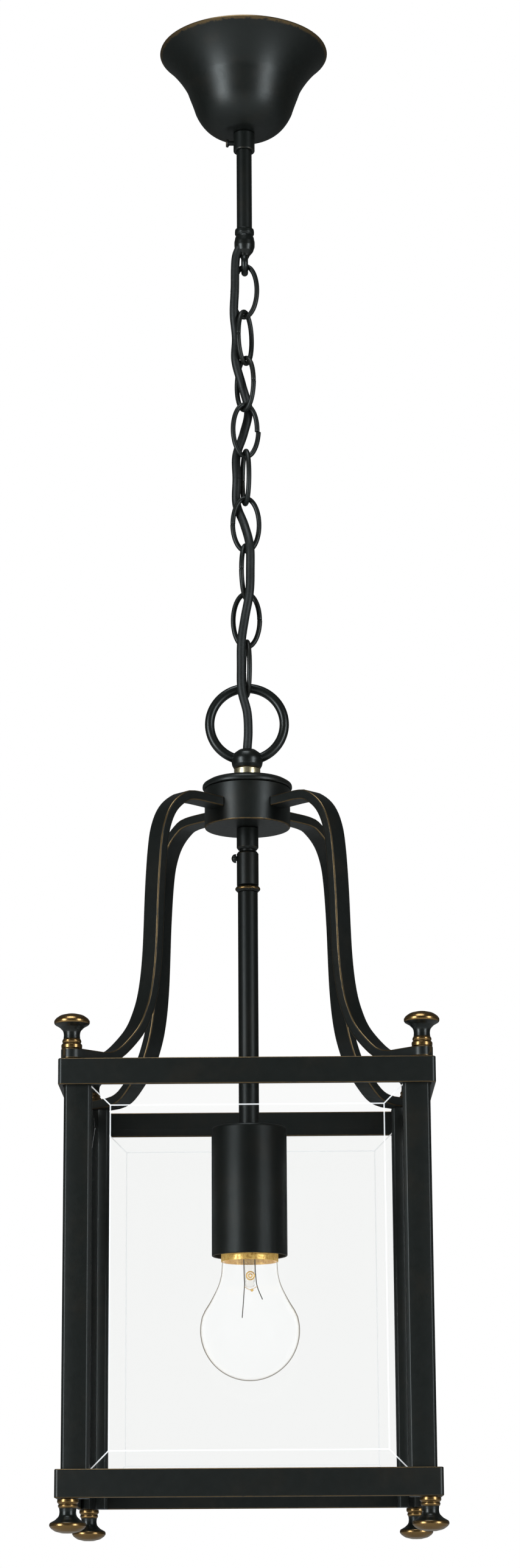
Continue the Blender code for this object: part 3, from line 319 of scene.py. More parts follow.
bulbPaintedLight = bulbPaintedLightFinish("bulbGlass")
amberPaintedGlow = amberGlowFinish("bulbAmber")
leadWire = mouldedFinish("leadWire", rgb(0.10, 0.075, 0.045), rgb(0.04, 0.030, 0.020), 0.40, 0.00002)
bevelPaintedHighlight = glowLineFinish("paneBevelLine", rgb(0.62, 0.62, 0.62), 0.62)
print("finishes made")


def rounded(points, steps=5):  # points are (radius, height) or (radius, height, corner radius)
    made = []
    for index, point in enumerate(points):
        here = Vector(point[:2])
        if len(point) < 3 or not 0 < index < len(points) - 1:
            made.append(here)
            continue
        before = Vector(points[index - 1][:2]) - here
        after = Vector(points[index + 1][:2]) - here
        half = before.angle(after) / 2
        reach = min(point[2] / math.tan(half), before.length * 0.49, after.length * 0.49)
        start = here + before.normalized() * reach
        end = here + after.normalized() * reach
        for step in range(steps + 1):
            t = step / steps
            made.append(start * (1 - t) ** 2 + here * 2 * t * (1 - t) + end * t ** 2)
    return made


def spun(points, steps=72, loop=False):
    bm = bmesh.new()
    verts = [bm.verts.new((point[0], 0, point[1])) for point in points]
    edges = [bm.edges.new(pair) for pair in zip(verts, verts[1:])]
    if loop:
        edges.append(bm.edges.new((verts[-1], verts[0])))
    bmesh.ops.spin(bm, geom=verts + edges, cent=(0, 0, 0), axis=(0, 0, 1),
                   angle=math.tau, steps=steps, use_merge=True)
    bmesh.ops.remove_doubles(bm, verts=bm.verts, dist=1e-6)
    bmesh.ops.recalc_face_normals(bm, faces=bm.faces)
    return bm


def carriage(path, closed):  # a turning frame carried along a path without twist
    turns = []
    count = len(path)
    normal = None
    for index, point in enumerate(path):
        after = path[(index + 1) % count] if closed or index < count - 1 else point
        before = path[index - 1] if closed or index > 0 else point
        along = (after - before).normalized()
        if normal is None:
            normal = along.orthogonal().normalized()
        normal = (normal - along * normal.dot(along)).normalized()
        turn = Matrix((normal, along.cross(normal), along)).transposed().to_4x4()
        turns.append(Matrix.Translation(point) @ turn)
    return turns


def sweptRound(path, radius, sides=20, closed=False, into=None):
    bm = into or bmesh.new()
    rings = []
    for turn in carriage(path, closed):
        circle = bmesh.ops.create_circle(bm, cap_ends=False, radius=radius, segments=sides, matrix=turn)
        made = circle["verts"]
        rings.append((made, list({edge for vert in made for edge in vert.link_edges})))
    pairs = list(zip(rings, rings[1:]))
    if closed:
        pairs.append((rings[-1], rings[0]))
    for (_, first), (_, second) in pairs:
        bmesh.ops.bridge_loops(bm, edges=first + second)
    if not closed:
        bmesh.ops.contextual_create(bm, geom=rings[0][0])
        bmesh.ops.contextual_create(bm, geom=rings[-1][0])
    bmesh.ops.recalc_face_normals(bm, faces=bm.faces)
    return bm


def barSection(width, thickness, corner, rubReach):  # (across, up, rub) points of a rounded bar
    section = []
    for acrossSign, upSign, start in ((1, 1, 0), (-1, 1, 90), (-1, -1, 180), (1, -1, 270)):
        centre = Vector((acrossSign * (width / 2 - corner), upSign * (thickness / 2 - corner)))
        for angle, rub in ((0, 0.0), (25, 1.0), (65, 1.0), (90, 0.0)):
            turn = math.radians(start + angle)
            section.append((*(centre + Vector((math.cos(turn), math.sin(turn))) * corner), rub))
        ahead = Vector((-math.sin(math.radians(start + 90)), math.cos(math.radians(start + 90))))
        last = Vector(section[-1][:2])
        section.append((*(last + ahead * rubReach), 0.0))
        nextSigns = {0: (-1, 1), 90: (-1, -1), 180: (1, -1), 270: (1, 1)}[start]
        nextStart = Vector((nextSigns[0] * (width / 2 - corner), nextSigns[1] * (thickness / 2 - corner)))
        turn = math.radians(start + 90)
        corner0 = nextStart + Vector((math.cos(turn), math.sin(turn))) * corner
        section.append((*(corner0 - ahead * rubReach), 0.0))
    return section


def sweptBar(section, stations, closed=False):  # stations are (centre, across, up, width scale)
    bm = bmesh.new()
    layer = bm.verts.layers.float.new("rub")
    loops = []
    for centre, across, up, scale in stations:
        verts = []
        for x, y, rub in section:
            vert = bm.verts.new(centre + across * x * scale + up * y)
            vert[layer] = rub
            verts.append(vert)
        edges = [bm.edges.new((a, b)) for a, b in zip(verts, verts[1:] + verts[:1])]
        loops.append((verts, edges))
    pairs = list(zip(loops, loops[1:]))
    if closed:
        pairs.append((loops[-1], loops[0]))
    for (_, first), (_, second) in pairs:
        bmesh.ops.bridge_loops(bm, edges=first + second)
    if not closed:
        bm.faces.new(loops[0][0])
        bm.faces.new(loops[-1][0])
    bmesh.ops.recalc_face_normals(bm, faces=bm.faces)
    return bm


def rubWhere(bm, amount):  # amount(position) gives how rubbed the surface is there
    layer = bm.verts.layers.float.get("rub") or bm.verts.layers.float.new("rub")
    for vert in bm.verts:
        vert[layer] = amount(vert.co)
    return bm


def nearHeights(heights, reach):  # fully rubbed at these heights, fading over the reach
    def amount(place):
        return max(max(0.0, 1 - abs(place.z - height) / reach) for height in heights)
    return amount


# cuts a ring beside each rubbed edge, so that its gold stays narrow
def rubbedRings(bm, heights, reach, strength=1.0):
    for height in heights:
        for cut in (height - reach, height + reach):
            bmesh.ops.bisect_plane(bm, geom=bm.verts[:] + bm.edges[:] + bm.faces[:], dist=1e-7,
                                   plane_co=(0, 0, cut), plane_no=(0, 0, 1))
    near = nearHeights(heights, reach)
    return rubWhere(bm, lambda place: near(place) * strength)


def blockShape(low, high, bevel, segments=3):
    bm = bmesh.new()
    low = Vector(low)
    high = Vector(high)
    size = high - low
    bmesh.ops.create_cube(bm, size=1.0,
                          matrix=Matrix.Translation((low + high) / 2) @ Matrix.Diagonal((*size, 1)))
    bmesh.ops.bevel(bm, geom=bm.edges[:], offset=bevel, segments=segments, profile=0.5, affect="EDGES",
                    material=-1)
    return bm


def join(bm, other):
    mesh = bpy.data.meshes.new("joining")
    other.to_mesh(mesh)
    other.free()
    bm.from_mesh(mesh)
    bpy.data.meshes.remove(mesh)
    return bm


def piece(name, bm, body, finishes, replaces=(), sharp=38):
    mesh = bpy.data.meshes.new(name)
    bm.to_mesh(mesh)
    bm.free()
    mesh.shade_smooth()
    mesh.set_sharp_from_angle(angle=math.radians(sharp))
    for finish in finishes if isinstance(finishes, (list, tuple)) else [finishes]:
        mesh.materials.append(finish)
    made = bpy.data.objects.new(name, mesh)
    bpy.context.collection.objects.link(made)
    if body:
        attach(made, body)
    if replaces:
        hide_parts(*replaces)
    return made


def dress(node, finish):  # a CAD node that stays gets its finish
    frame["nodes"][node].data.materials.clear()
    frame["nodes"][node].data.materials.append(finish)


def titled(corner):  # front_left becomes FrontLeft
    return "".join(word.title() for word in corner.split("_"))


def span(node):  # top, bottom and outer radius of a turned CAD node
    low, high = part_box(node)
    return high.z, low.z, high.x


cameraLook = {"place": (0.0194, -1.9638, -1.0050), "heading": 0.333, "rise": 14.36, "roll": 0.35,
              "lens": 49.47, "sensor": 24.0}
cameraData = bpy.data.cameras.new("camera")
cameraData.sensor_fit = "VERTICAL"
cameraData.sensor_height = cameraLook["sensor"]
cameraData.lens = cameraLook["lens"]
cameraData.clip_end = 50
camera = bpy.data.objects.new("camera", cameraData)
bpy.context.collection.objects.link(camera)
camera.matrix_world = (Matrix.Translation(cameraLook["place"])
                       @ Matrix.Rotation(math.radians(cameraLook["heading"]), 4, "Z")
                       @ Matrix.Rotation(math.radians(90 + cameraLook["rise"]), 4, "X")
                       @ Matrix.Rotation(math.radians(-cameraLook["roll"]), 4, "Z"))
bpy.context.scene.camera = camera
bpy.context.scene.view_settings.view_transform = "Standard"

floorLook = {"below": 0.35, "radius": 6.0}
floorShape = bmesh.new()
bmesh.ops.create_circle(floorShape, cap_ends=True, radius=floorLook["radius"], segments=64,
                        matrix=Matrix.Translation((0, 0, cadBox[0][2] - floorLook["below"])))
floorMesh = bpy.data.meshes.new("floor")
floorShape.to_mesh(floorMesh)
floorShape.free()
floor = bpy.data.objects.new("floor", floorMesh)
bpy.context.collection.objects.link(floor)
floorPaint = Paint("floorPaint")
floorMesh.materials.append(floorPaint.finish(floorPaint.principled(
    {"Base Color": rgb(0.84, 0.84, 0.83), "Roughness": 0.8})))

# the room is white to the eye and dim to the metal, so that the soft boxes draw the highlights
world = bpy.data.worlds.new("studio")
bpy.context.scene.world = world
world.use_nodes = True
worldNodes = world.node_tree.nodes
worldNodes.clear()
seen = worldNodes.new("ShaderNodeBackground")
seen.inputs["Color"].default_value = rgb(1, 1, 1)
seen.inputs["Strength"].default_value = 1.0
felt = worldNodes.new("ShaderNodeBackground")
felt.inputs["Color"].default_value = rgb(0.95, 1.0, 0.99)
felt.inputs["Strength"].default_value = 0.08
path = worldNodes.new("ShaderNodeLightPath")
either = worldNodes.new("ShaderNodeMixShader")
worldOut = worldNodes.new("ShaderNodeOutputWorld")
world.node_tree.links.new(path.outputs["Is Camera Ray"], either.inputs[0])
world.node_tree.links.new(felt.outputs[0], either.inputs[1])
world.node_tree.links.new(seen.outputs[0], either.inputs[2])
world.node_tree.links.new(either.outputs[0], worldOut.inputs["Surface"])


def softBox(name, place, aim, width, height, power):
    light = bpy.data.lights.new(name, "AREA")
    light.shape = "RECTANGLE"
    light.size = width
    light.size_y = height
    light.energy = power
    light.color = (0.88, 0.95, 1.0)
    lamp = bpy.data.objects.new(name, light)
    bpy.context.collection.objects.link(lamp)
    turn = (Vector(aim) - Vector(place)).to_track_quat("-Z", "Y").to_matrix().to_4x4()
    lamp.matrix_world = Matrix.Translation(place) @ turn
    lamp.visible_camera = False


middle = (0, 0, -0.5)
softBox("leftBox", (-2.1, -1.9, -0.55), middle, 0.95, 2.0, 85)
softBox("rightBox", (2.1, -1.9, -0.55), middle, 0.85, 2.0, 60)
softBox("topBox", (-0.3, -0.8, 2.2), middle, 1.4, 1.0, 40)
print("camera, floor and light set")


terminalLook = {"bevel": 0.0012, "screw": 0.0019, "screwDepth": 0.0012, "hole": 0.0016}


def makeCeilingEnd():
    look = terminalLook
    dress("ceiling_plate", zinc)
    dress("stem_bridge", zinc)
    dress("stem_nut", zinc)
    dress("flex_stem", flexBlack)
    low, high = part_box("terminal_block")
    block = blockShape(low, high, look["bevel"])
    middleZ = (low.z + high.z) / 2
    for side in (-1, 1):
        for row in (-1, 1):
            x = side * (high.x - low.x) / 4
            y = row * (high.y - low.y) * 0.27
            screw = bmesh.new()
            bmesh.ops.create_cone(screw, cap_ends=True, segments=24, radius1=look["screw"],
                                  radius2=look["screw"], depth=look["screwDepth"],
                                  matrix=Matrix.Translation((x, y, low.z - 0.0002)))
            join(block, screw)
        hole = bmesh.new()
        bmesh.ops.create_cone(hole, cap_ends=True, segments=24, radius1=look["hole"], radius2=look["hole"],
                              depth=high.y - low.y + 0.0004,
                              matrix=Matrix.Translation((side * (high.x - low.x) / 4, 0, middleZ))
                              @ Matrix.Rotation(math.pi / 2, 4, "X"))
        join(block, hole)
    piece("terminalBlock", block, "ceiling_part", plastic, ["terminal_block"])


canopyLook = {"wall": 0.0013, "lip": 0.0010, "rimReach": 0.0011, "steps": 112}


def makeCanopy():
    top, bottom, radius = span("canopy")
    height = top - bottom
    wall = canopyLook["wall"]

    def curve(start, handle1, handle2, end, steps):
        made = []
        for step in range(steps):
            t = step / steps
            u = 1 - t
            made.append(Vector([u ** 3 * a + 3 * u * u * t * b + 3 * u * t * t * c + t ** 3 * d
                                for a, b, c, d in zip(start, handle1, handle2, end)]))
        return made

    flare = (radius * 0.68, top - height * 0.44)
    waist = (radius * 0.58, top - height * 0.72)
    floorEdge = (radius * 0.26, bottom)
    outer = curve((radius, top - canopyLook["lip"]), (radius * 0.93, top - height * 0.08),
                  (radius * 0.78, top - height * 0.24), flare, 22)
    outer += curve(flare, (radius * 0.65, top - height * 0.53), (radius * 0.61, top - height * 0.62),
                   waist, 10)
    outer += curve(waist, (radius * 0.52, top - height * 0.86), (radius * 0.42, top - height * 0.97),
                   floorEdge, 18)
    stem = span("stem_tube")[2] + 0.0003
    outer += [Vector(floorEdge), Vector((stem, bottom))]
    inner = []
    for before, after in zip(outer, outer[1:]):
        along = (after - before).normalized()
        inner.append((before + after) / 2 + Vector((along.y, -along.x)) * wall)
    inner = [point for point in inner if point.x > stem and point.y < top - 0.002]
    lip = [Vector((radius - wall * 0.9, top - 0.0004)), Vector((radius - wall * 0.5, top)),
           Vector((radius - 0.0002, top - 0.0003))]
    profile = lip + outer + [Vector((stem, bottom + wall))] + inner[::-1] + [
        Vector((radius - wall * 1.3, top - 0.0015))]
    bm = spun(profile, canopyLook["steps"], loop=True)
    rubWhere(bm, lambda place: max(0.0, 1 - abs(place.z - top) / 0.0030) * 1.7
             if place.xy.length > radius - 0.0070 else 0.0)
    piece("canopyBell", bm, "canopy_set", bronze, ["canopy"])

    top, bottom, radius = span("canopy_collar")
    profile = rounded([(stem, top), (radius, top, 0.0003), (radius, bottom, 0.0024), (stem, bottom)])
    bm = spun(profile, 64, loop=True)
    rubbedRings(bm, [bottom + 0.0004], 0.0005, 0.3)
    piece("canopyCollarRing", bm, "canopy_set", bronze, ["canopy_collar"])


def makeSideScrew(name, node, body, knurls):
    low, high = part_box(node)
    z = (low.z + high.z) / 2
    head = (high.z - low.z) / 2
    shank = head * 0.56
    if node == "canopy_thumb_screw":
        profile = rounded([(0, -high.x), (shank, -high.x, 0.0003), (shank, -low.x - 0.0022, 0.0005),
                           (head, -low.x - 0.0014, 0.0005), (head * 0.86, -low.x, 0.0004), (0, -low.x)])
    else:
        dome = 0.0025
        profile = [Vector((0, -high.x)), Vector((shank, -high.x)), Vector((shank, -low.x - dome - 0.0004)),
                   Vector((head * 0.9, -low.x - dome))]
        for angle in range(-10, 91, 10):
            turn = math.radians(angle)
            profile.append(Vector((head * math.cos(turn), -low.x - dome * (1 - math.sin(turn)))))
    bm = spun(profile, 48)
    for vert in bm.verts:
        reach = vert.co.xy.length
        if reach > head * 0.72:
            turn = math.atan2(vert.co.y, vert.co.x)
            grow = 1 + 0.035 * math.cos(knurls * turn)
            vert.co.x *= grow
            vert.co.y *= grow
    bm.transform(Matrix.Translation((0, 0, z)) @ Matrix.Rotation(-math.pi / 2, 4, "Y"))
    rubWhere(bm, lambda place: max(0.0, 1 - abs(place.x - low.x) / 0.0010) * 0.5)
    bmesh.ops.recalc_face_normals(bm, faces=bm.faces)
    piece(name, bm, body, bronze, [node])


def makeStem():
    top, bottom, radius = span("stem_tube")
    bore = 0.0036
    profile = rounded([(bore, top), (radius, top, 0.0006), (radius, bottom), (bore, bottom)])
    piece("stemTube", spun(profile, 64, loop=True), "ceiling_part", bronze, ["stem_tube"])
    low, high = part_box("stem_eye")
    top = high.z
    body = high.x
    bead = top - 0.0043
    wire = 0.00225
    eyeRadius = 0.0052
    eyeCentre = low.z + eyeRadius + wire
    profile = rounded([(0.0053, top), (0.0061, top, 0.0003), (0.0063, top - 0.0012, 0.0005),
                       (0.0063, bead + 0.0012, 0.0008), (0.0054, bead, 0.0003),
                       (body - 0.0006, bead - 0.0014, 0.0010), (body, bead - 0.0046, 0.003),
                       (body * 0.99, bead - 0.0078, 0.003), (body * 0.83, bead - 0.0110, 0.002),
                       (body * 0.52, bead - 0.0137, 0.001), (0.0024, bead - 0.0160), (0, bead - 0.0164)], 6)
    bm = spun(profile, 72)
    ring = [Vector((0, math.cos(turn) * eyeRadius, eyeCentre + math.sin(turn) * eyeRadius))
            for turn in [math.tau * step / 48 for step in range(48)]]
    sweptRound(ring, wire, 20, True, bm)
    rubbedRings(bm, [bead + 0.0020], 0.0006)
    piece("stemEyeCasting", bm, "ceiling_part", castBronze, ["stem_eye"])


makeCeilingEnd()
makeCanopy()
makeSideScrew("canopyThumbScrew", "canopy_thumb_screw", "canopy_screw", 14)
makeStem()
print("ceiling end made")


# bent wire links, each with its butt joint on one side
linkLook = {"wire": 0.00315, "width": 0.0200, "steps": 72, "sides": 18, "seam": 0.00025,
            "openLink": 4, "openLean": 0.0009, "lean": 0.0001,
            "turns": (-20, 60, 130, 200, 285, 365, 430, 536, 643)}


def makeLink(number):
    look = linkLook
    low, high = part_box(f"chain_link_{number}")
    turn = math.radians(look["turns"][number - 1])
    across = Vector((math.cos(turn), math.sin(turn), 0))
    centre = (low + high) / 2
    halfHeight = (high.z - low.z - look["wire"]) / 2
    halfWidth = (look["width"] - look["wire"]) / 2
    gap = look["seam"] / halfHeight
    offset = look["openLean"] if number == look["openLink"] else look["lean"]
    path = []
    for step in range(look["steps"] + 1):
        share = step / look["steps"]
        angle = math.pi + gap / 2 + (math.tau - gap) * share
        lean = offset * (share - 0.5) * max(0.0, abs(share - 0.5) * 8 - 3)
        path.append(Vector((centre.x, centre.y, centre.z)) + across * (halfWidth * math.cos(angle) + lean)
                    + Vector((0, 0, halfHeight * math.sin(angle))))
    bm = sweptRound(path, look["wire"] / 2, look["sides"])
    ends = [edge for edge in bm.edges if len(edge.link_faces) == 2 and
            max(len(face.verts) for face in edge.link_faces) > 4]
    bmesh.ops.bevel(bm, geom=ends, offset=0.0002, segments=2, profile=0.5, affect="EDGES", material=-1)
    piece(f"chainLink{number}", bm, f"link_{number}", wireBronze,
          [f"chain_link_{number}"], 50)


for number in range(1, 10):
    makeLink(number)

# one flex from the stem's casting to the knob, cut midway between the chain's joints
flexLook = {"diameter": 0.0056, "sides": 24, "spacing": 0.0016}
flexRoute = [
    (0.0, 0.0, -0.1304), (-0.0011, -0.0005, -0.1338), (-0.0032, -0.0016, -0.1400),
    (-0.0055, -0.0028, -0.1468), (-0.0062, -0.0032, -0.1560), (-0.0064, -0.0033, -0.1700),
    (-0.0071, -0.0024, -0.1867), (-0.0058, 0.0000, -0.2027), (-0.0062, -0.0004, -0.2187),
    (-0.0021, 0.0020, -0.2348), (0.0019, 0.0061, -0.2508), (-0.0012, 0.0056, -0.2668),
    (-0.0059, 0.0031, -0.2829), (-0.0058, 0.0024, -0.2989), (-0.0060, 0.0050, -0.3149),
    (-0.0010, 0.0000, -0.3309), (0.0024, -0.0075, -0.3470), (0.0027, -0.0080, -0.3630),
    (0.0021, -0.0084, -0.3790), (-0.0008, -0.0075, -0.3950), (-0.0031, -0.0081, -0.4110),
    (-0.0034, -0.0077, -0.4270), (-0.0031, -0.0077, -0.4431), (0.0002, -0.0058, -0.4570),
    (0.0008, -0.0020, -0.4690), (0.0001, 0.0, -0.4795), (0.0, 0.0, -0.4865)]


def smoothRoute(points, spacing):
    knots = [Vector(point) for point in points]
    ends = [2 * knots[0] - knots[1]] + knots + [2 * knots[-1] - knots[-2]]
    route = []
    for a, b, c, d in zip(ends, ends[1:], ends[2:], ends[3:]):
        steps = max(2, round((c - b).length / spacing))
        for step in range(steps):
            t = step / steps
            route.append(0.5 * (2 * b + (c - a) * t + (2 * a - 5 * b + 4 * c - d) * t ** 2
                                + (3 * b - a - 3 * c + d) * t ** 3))
    route.append(knots[-1])
    return route


def makeFlex():
    route = smoothRoute(flexRoute, flexLook["spacing"])
    chain = [joint for joint in frame["joints"] if joint["name"].startswith("chain_joint")]
    heights = [joint["pos_m"][2] for joint in chain]
    cuts = [route[0].z + 1] + [(a + b) / 2 for a, b in zip(heights, heights[1:])] + [-1]
    for index, joint in enumerate(chain):
        part = [point for point in route if cuts[index + 1] <= point.z <= cuts[index]]
        first = route.index(part[0])
        last = route.index(part[-1])
        part = route[max(first - 1, 0):last + 1]
        name = f"flexStretch{index + 1}"
        bm = sweptRound(part, flexLook["diameter"] / 2, flexLook["sides"])
        made = piece(name, bm, None, flexBlack)
        high = min(cuts[index], route[0].z)
        low = max(cuts[index + 1], route[-1].z)
        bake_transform(made, joint["parent"], joint["child"], start=(0, 0, high), end=(0, 0, low))
        if index == 0:
            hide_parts("flex_chain")


makeFlex()
print("chain and flex made")


boreLook = {"nipple": 0.0052, "flex": 0.0035}


def makeRing():
    low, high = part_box("hanging_ring")
    bar = 0.0030
    outer = high.x
    centre = high.z - outer
    path = [Vector((math.cos(turn) * (outer - bar), 0, centre + math.sin(turn) * (outer - bar)))
            for turn in [math.tau * step / 96 for step in range(96)]]
    bm = sweptRound(path, bar, 28, True)
    bottom = low.z + 0.0009
    knob = high.y
    tall = 0.0126
    top = bottom + tall
    flexHole = 0.0031
    profile = rounded([(flexHole, top - 0.003), (flexHole, top, 0.0004), (knob * 0.50, top, 0.002),
                       (knob * 0.86, top - tall * 0.22, 0.004), (knob, top - tall * 0.50, 0.006),
                       (knob * 0.93, bottom + tall * 0.20, 0.003), (knob * 0.80, bottom, 0.0008),
                       (0.0052, bottom)], 7)
    join(bm, spun(profile, 80))
    rubbedRings(bm, [bottom + 0.0003], 0.0004)
    piece("hangingRing", bm, "lantern", castBronze, ["hanging_ring"], 50)


def makeHub():
    bore = boreLook["nipple"]
    top, bottom, radius = span("brass_collar")
    top += 0.0011
    profile = rounded([(bore, top), (radius, top, 0.0004), (radius, bottom, 0.0004), (bore, bottom)])
    piece("brassCollar", spun(profile, 72, loop=True), "lantern", brass, ["brass_collar"])
    top, bottom, radius = span("hub_lid")
    profile = rounded([(bore, top + 0.0004), (radius * 0.34, top - 0.0002, 0.004),
                       (radius * 0.86, top - 0.0022, 0.004), (radius, top - 0.0046, 0.0030),
                       (radius, bottom, 0.0011), (bore, bottom)], 8)
    bm = rubWhere(spun(profile, 112, loop=True), lambda place: 0.0)
    piece("hubLid", bm, "lantern", bronze, ["hub_lid"])
    top, bottom, radius = span("hub")
    profile = rounded([(radius - 0.003, top), (radius, top, 0.0003), (radius, bottom + 0.0040),
                       (radius, bottom, 0.0011), (radius - 0.0022, bottom), (bore, bottom),
                       (bore, bottom + 0.003), (radius - 0.003, bottom + 0.003)], 6)
    bm = rubbedRings(spun(profile, 112, loop=True), [bottom + 0.0005], 0.0007)
    layer = bm.verts.layers.float["rub"]
    for vert in bm.verts:
        if vert.co.xy.length < radius - 0.0018:
            vert[layer] = 0.0
    piece("hubDrum", bm, "lantern", bronze, ["hub"])
    dress("hub_nut", zinc)
    top, bottom, radius = span("hub_nipple")
    bore = boreLook["flex"]
    profile = rounded([(bore, top), (radius, top, 0.0004), (radius, bottom, 0.0004), (bore, bottom)])
    piece("hubNipple", spun(profile, 48, loop=True), "lantern", bronze, ["hub_nipple"])


def makeRod():
    bore = boreLook["nipple"]
    top, bottom, radius = span("rod_sleeve_upper")
    profile = rounded([(bore, top), (radius, top, 0.0003), (radius, bottom + 0.0014, 0.0006),
                       (0.0058, bottom, 0.0004), (bore, bottom)])
    bm = rubbedRings(spun(profile, 72, loop=True), [bottom + 0.0014], 0.0005, 0.4)
    piece("rodSleeveUpper", bm, "lantern", bronze, ["rod_sleeve_upper"])
    top, bottom, radius = span("rod_sleeve_lower")
    profile = rounded([(bore, top), (0.0058, top, 0.0004), (radius, top - 0.0014, 0.0006),
                       (radius, bottom, 0.0003), (bore, bottom)])
    bm = rubbedRings(spun(profile, 72, loop=True), [top - 0.0014], 0.0005, 0.4)
    piece("rodSleeveLower", bm, "lantern", bronze, ["rod_sleeve_lower"])
    top, bottom, radius = span("rod_bead")
    middleZ = (top + bottom) / 2
    profile = rounded([(bore, top), (0.0066, top, 0.0002), (radius, middleZ + 0.0004, 0.0008),
                       (radius, middleZ - 0.0004, 0.0008), (0.0063, bottom, 0.0002), (bore, bottom)])
    bm = rubbedRings(spun(profile, 72, loop=True), [middleZ], 0.0012, 0.6)
    piece("rodBead", bm, "lantern", knobBronze, ["rod_bead"])
    low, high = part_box("lamp_tube")
    radius = high.x
    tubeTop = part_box("rod_bead")[0].z - 0.0003
    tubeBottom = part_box("lampholder_cup")[1].z + 0.0003
    bore = boreLook["flex"]
    thread = 0.0049
    profile = rounded([(bore, high.z), (thread, high.z), (thread, tubeTop), (radius, tubeTop, 0.0003),
                       (radius, tubeBottom, 0.0003), (thread, tubeBottom), (thread, low.z),
                       (bore, low.z)])
    piece("lampTube", spun(profile, 64, loop=True), "lantern", bronze, ["lamp_tube"])
    dress("flex_rod", flexBlack)


makeRing()
makeHub()
makeRod()
makeSideScrew("rodLockScrew", "rod_lock_screw", "lock_screw", 16)
print("ring, hub and rod made")


def makeLampholder():
    top, bottom, radius = span("lampholder_cup")
    wall = 0.0011
    profile = rounded([(boreLook["nipple"], top), (radius, top, 0.0022), (radius, bottom + 0.0006, 0.0003),
                       (radius - wall / 2, bottom, 0.0003), (radius - wall, bottom + 0.0006),
                       (radius - wall, top - wall, 0.0016), (boreLook["nipple"], top - wall)], 7)
    bm = rubbedRings(spun(profile, 96, loop=True), [bottom], 0.0006)
    piece("lampholderCup", bm, "lantern", bronze, ["lampholder_cup"])
    dress("cup_nut", zinc)
    top, bottom, radius = span("lampholder")
    mouth = 0.0138
    shoulder = top - 0.0140
    profile = rounded([(0.0052, top), (0.0090, top, 0.0008), (0.0090, shoulder + 0.0020, 0.001),
                       (radius - 0.002, shoulder, 0.0014), (radius, shoulder - 0.002, 0.0014),
                       (radius, bottom, 0.0012), (mouth, bottom, 0.0010), (mouth, bottom + 0.0300),
                       (0.004, bottom + 0.0300), (0.004, top - 0.0110), (0.0052, top - 0.0110)], 6)
    piece("lampholderPorcelain", spun(profile, 80, loop=True), "lantern", porcelain,
          ["lampholder"])


holderRingLook = {"inner": 0.01675, "outer": 0.0173, "above": 0.0025, "below": 0.0032, "corner": 0.0002}


def makeHolderRing():  # the brass screw ring that shows in the cup's mouth, round the bulb's neck
    look = holderRingLook
    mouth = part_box("lampholder_cup")[0].z
    top = mouth + look["above"]
    bottom = mouth - look["below"]
    profile = rounded([(look["inner"], top), (look["outer"], top, look["corner"]),
                       (look["outer"], bottom, look["corner"]), (look["inner"], bottom, look["corner"])])
    piece("holderScrewRing", spun(profile, 96, loop=True), "lantern", amberPaintedGlow)


bulbLook = {"neck": 0.0118, "wire": 0.00030, "support": 0.00042, "ring": 0.0024, "coil": 0.00032,
            "outline": ((0.52, 1.47), (0.553, 1.365), (0.573, 1.125), (0.633, 0.895), (0.770, 0.615),
                        (0.905, 0.395)),
            "arcFrom": 16}


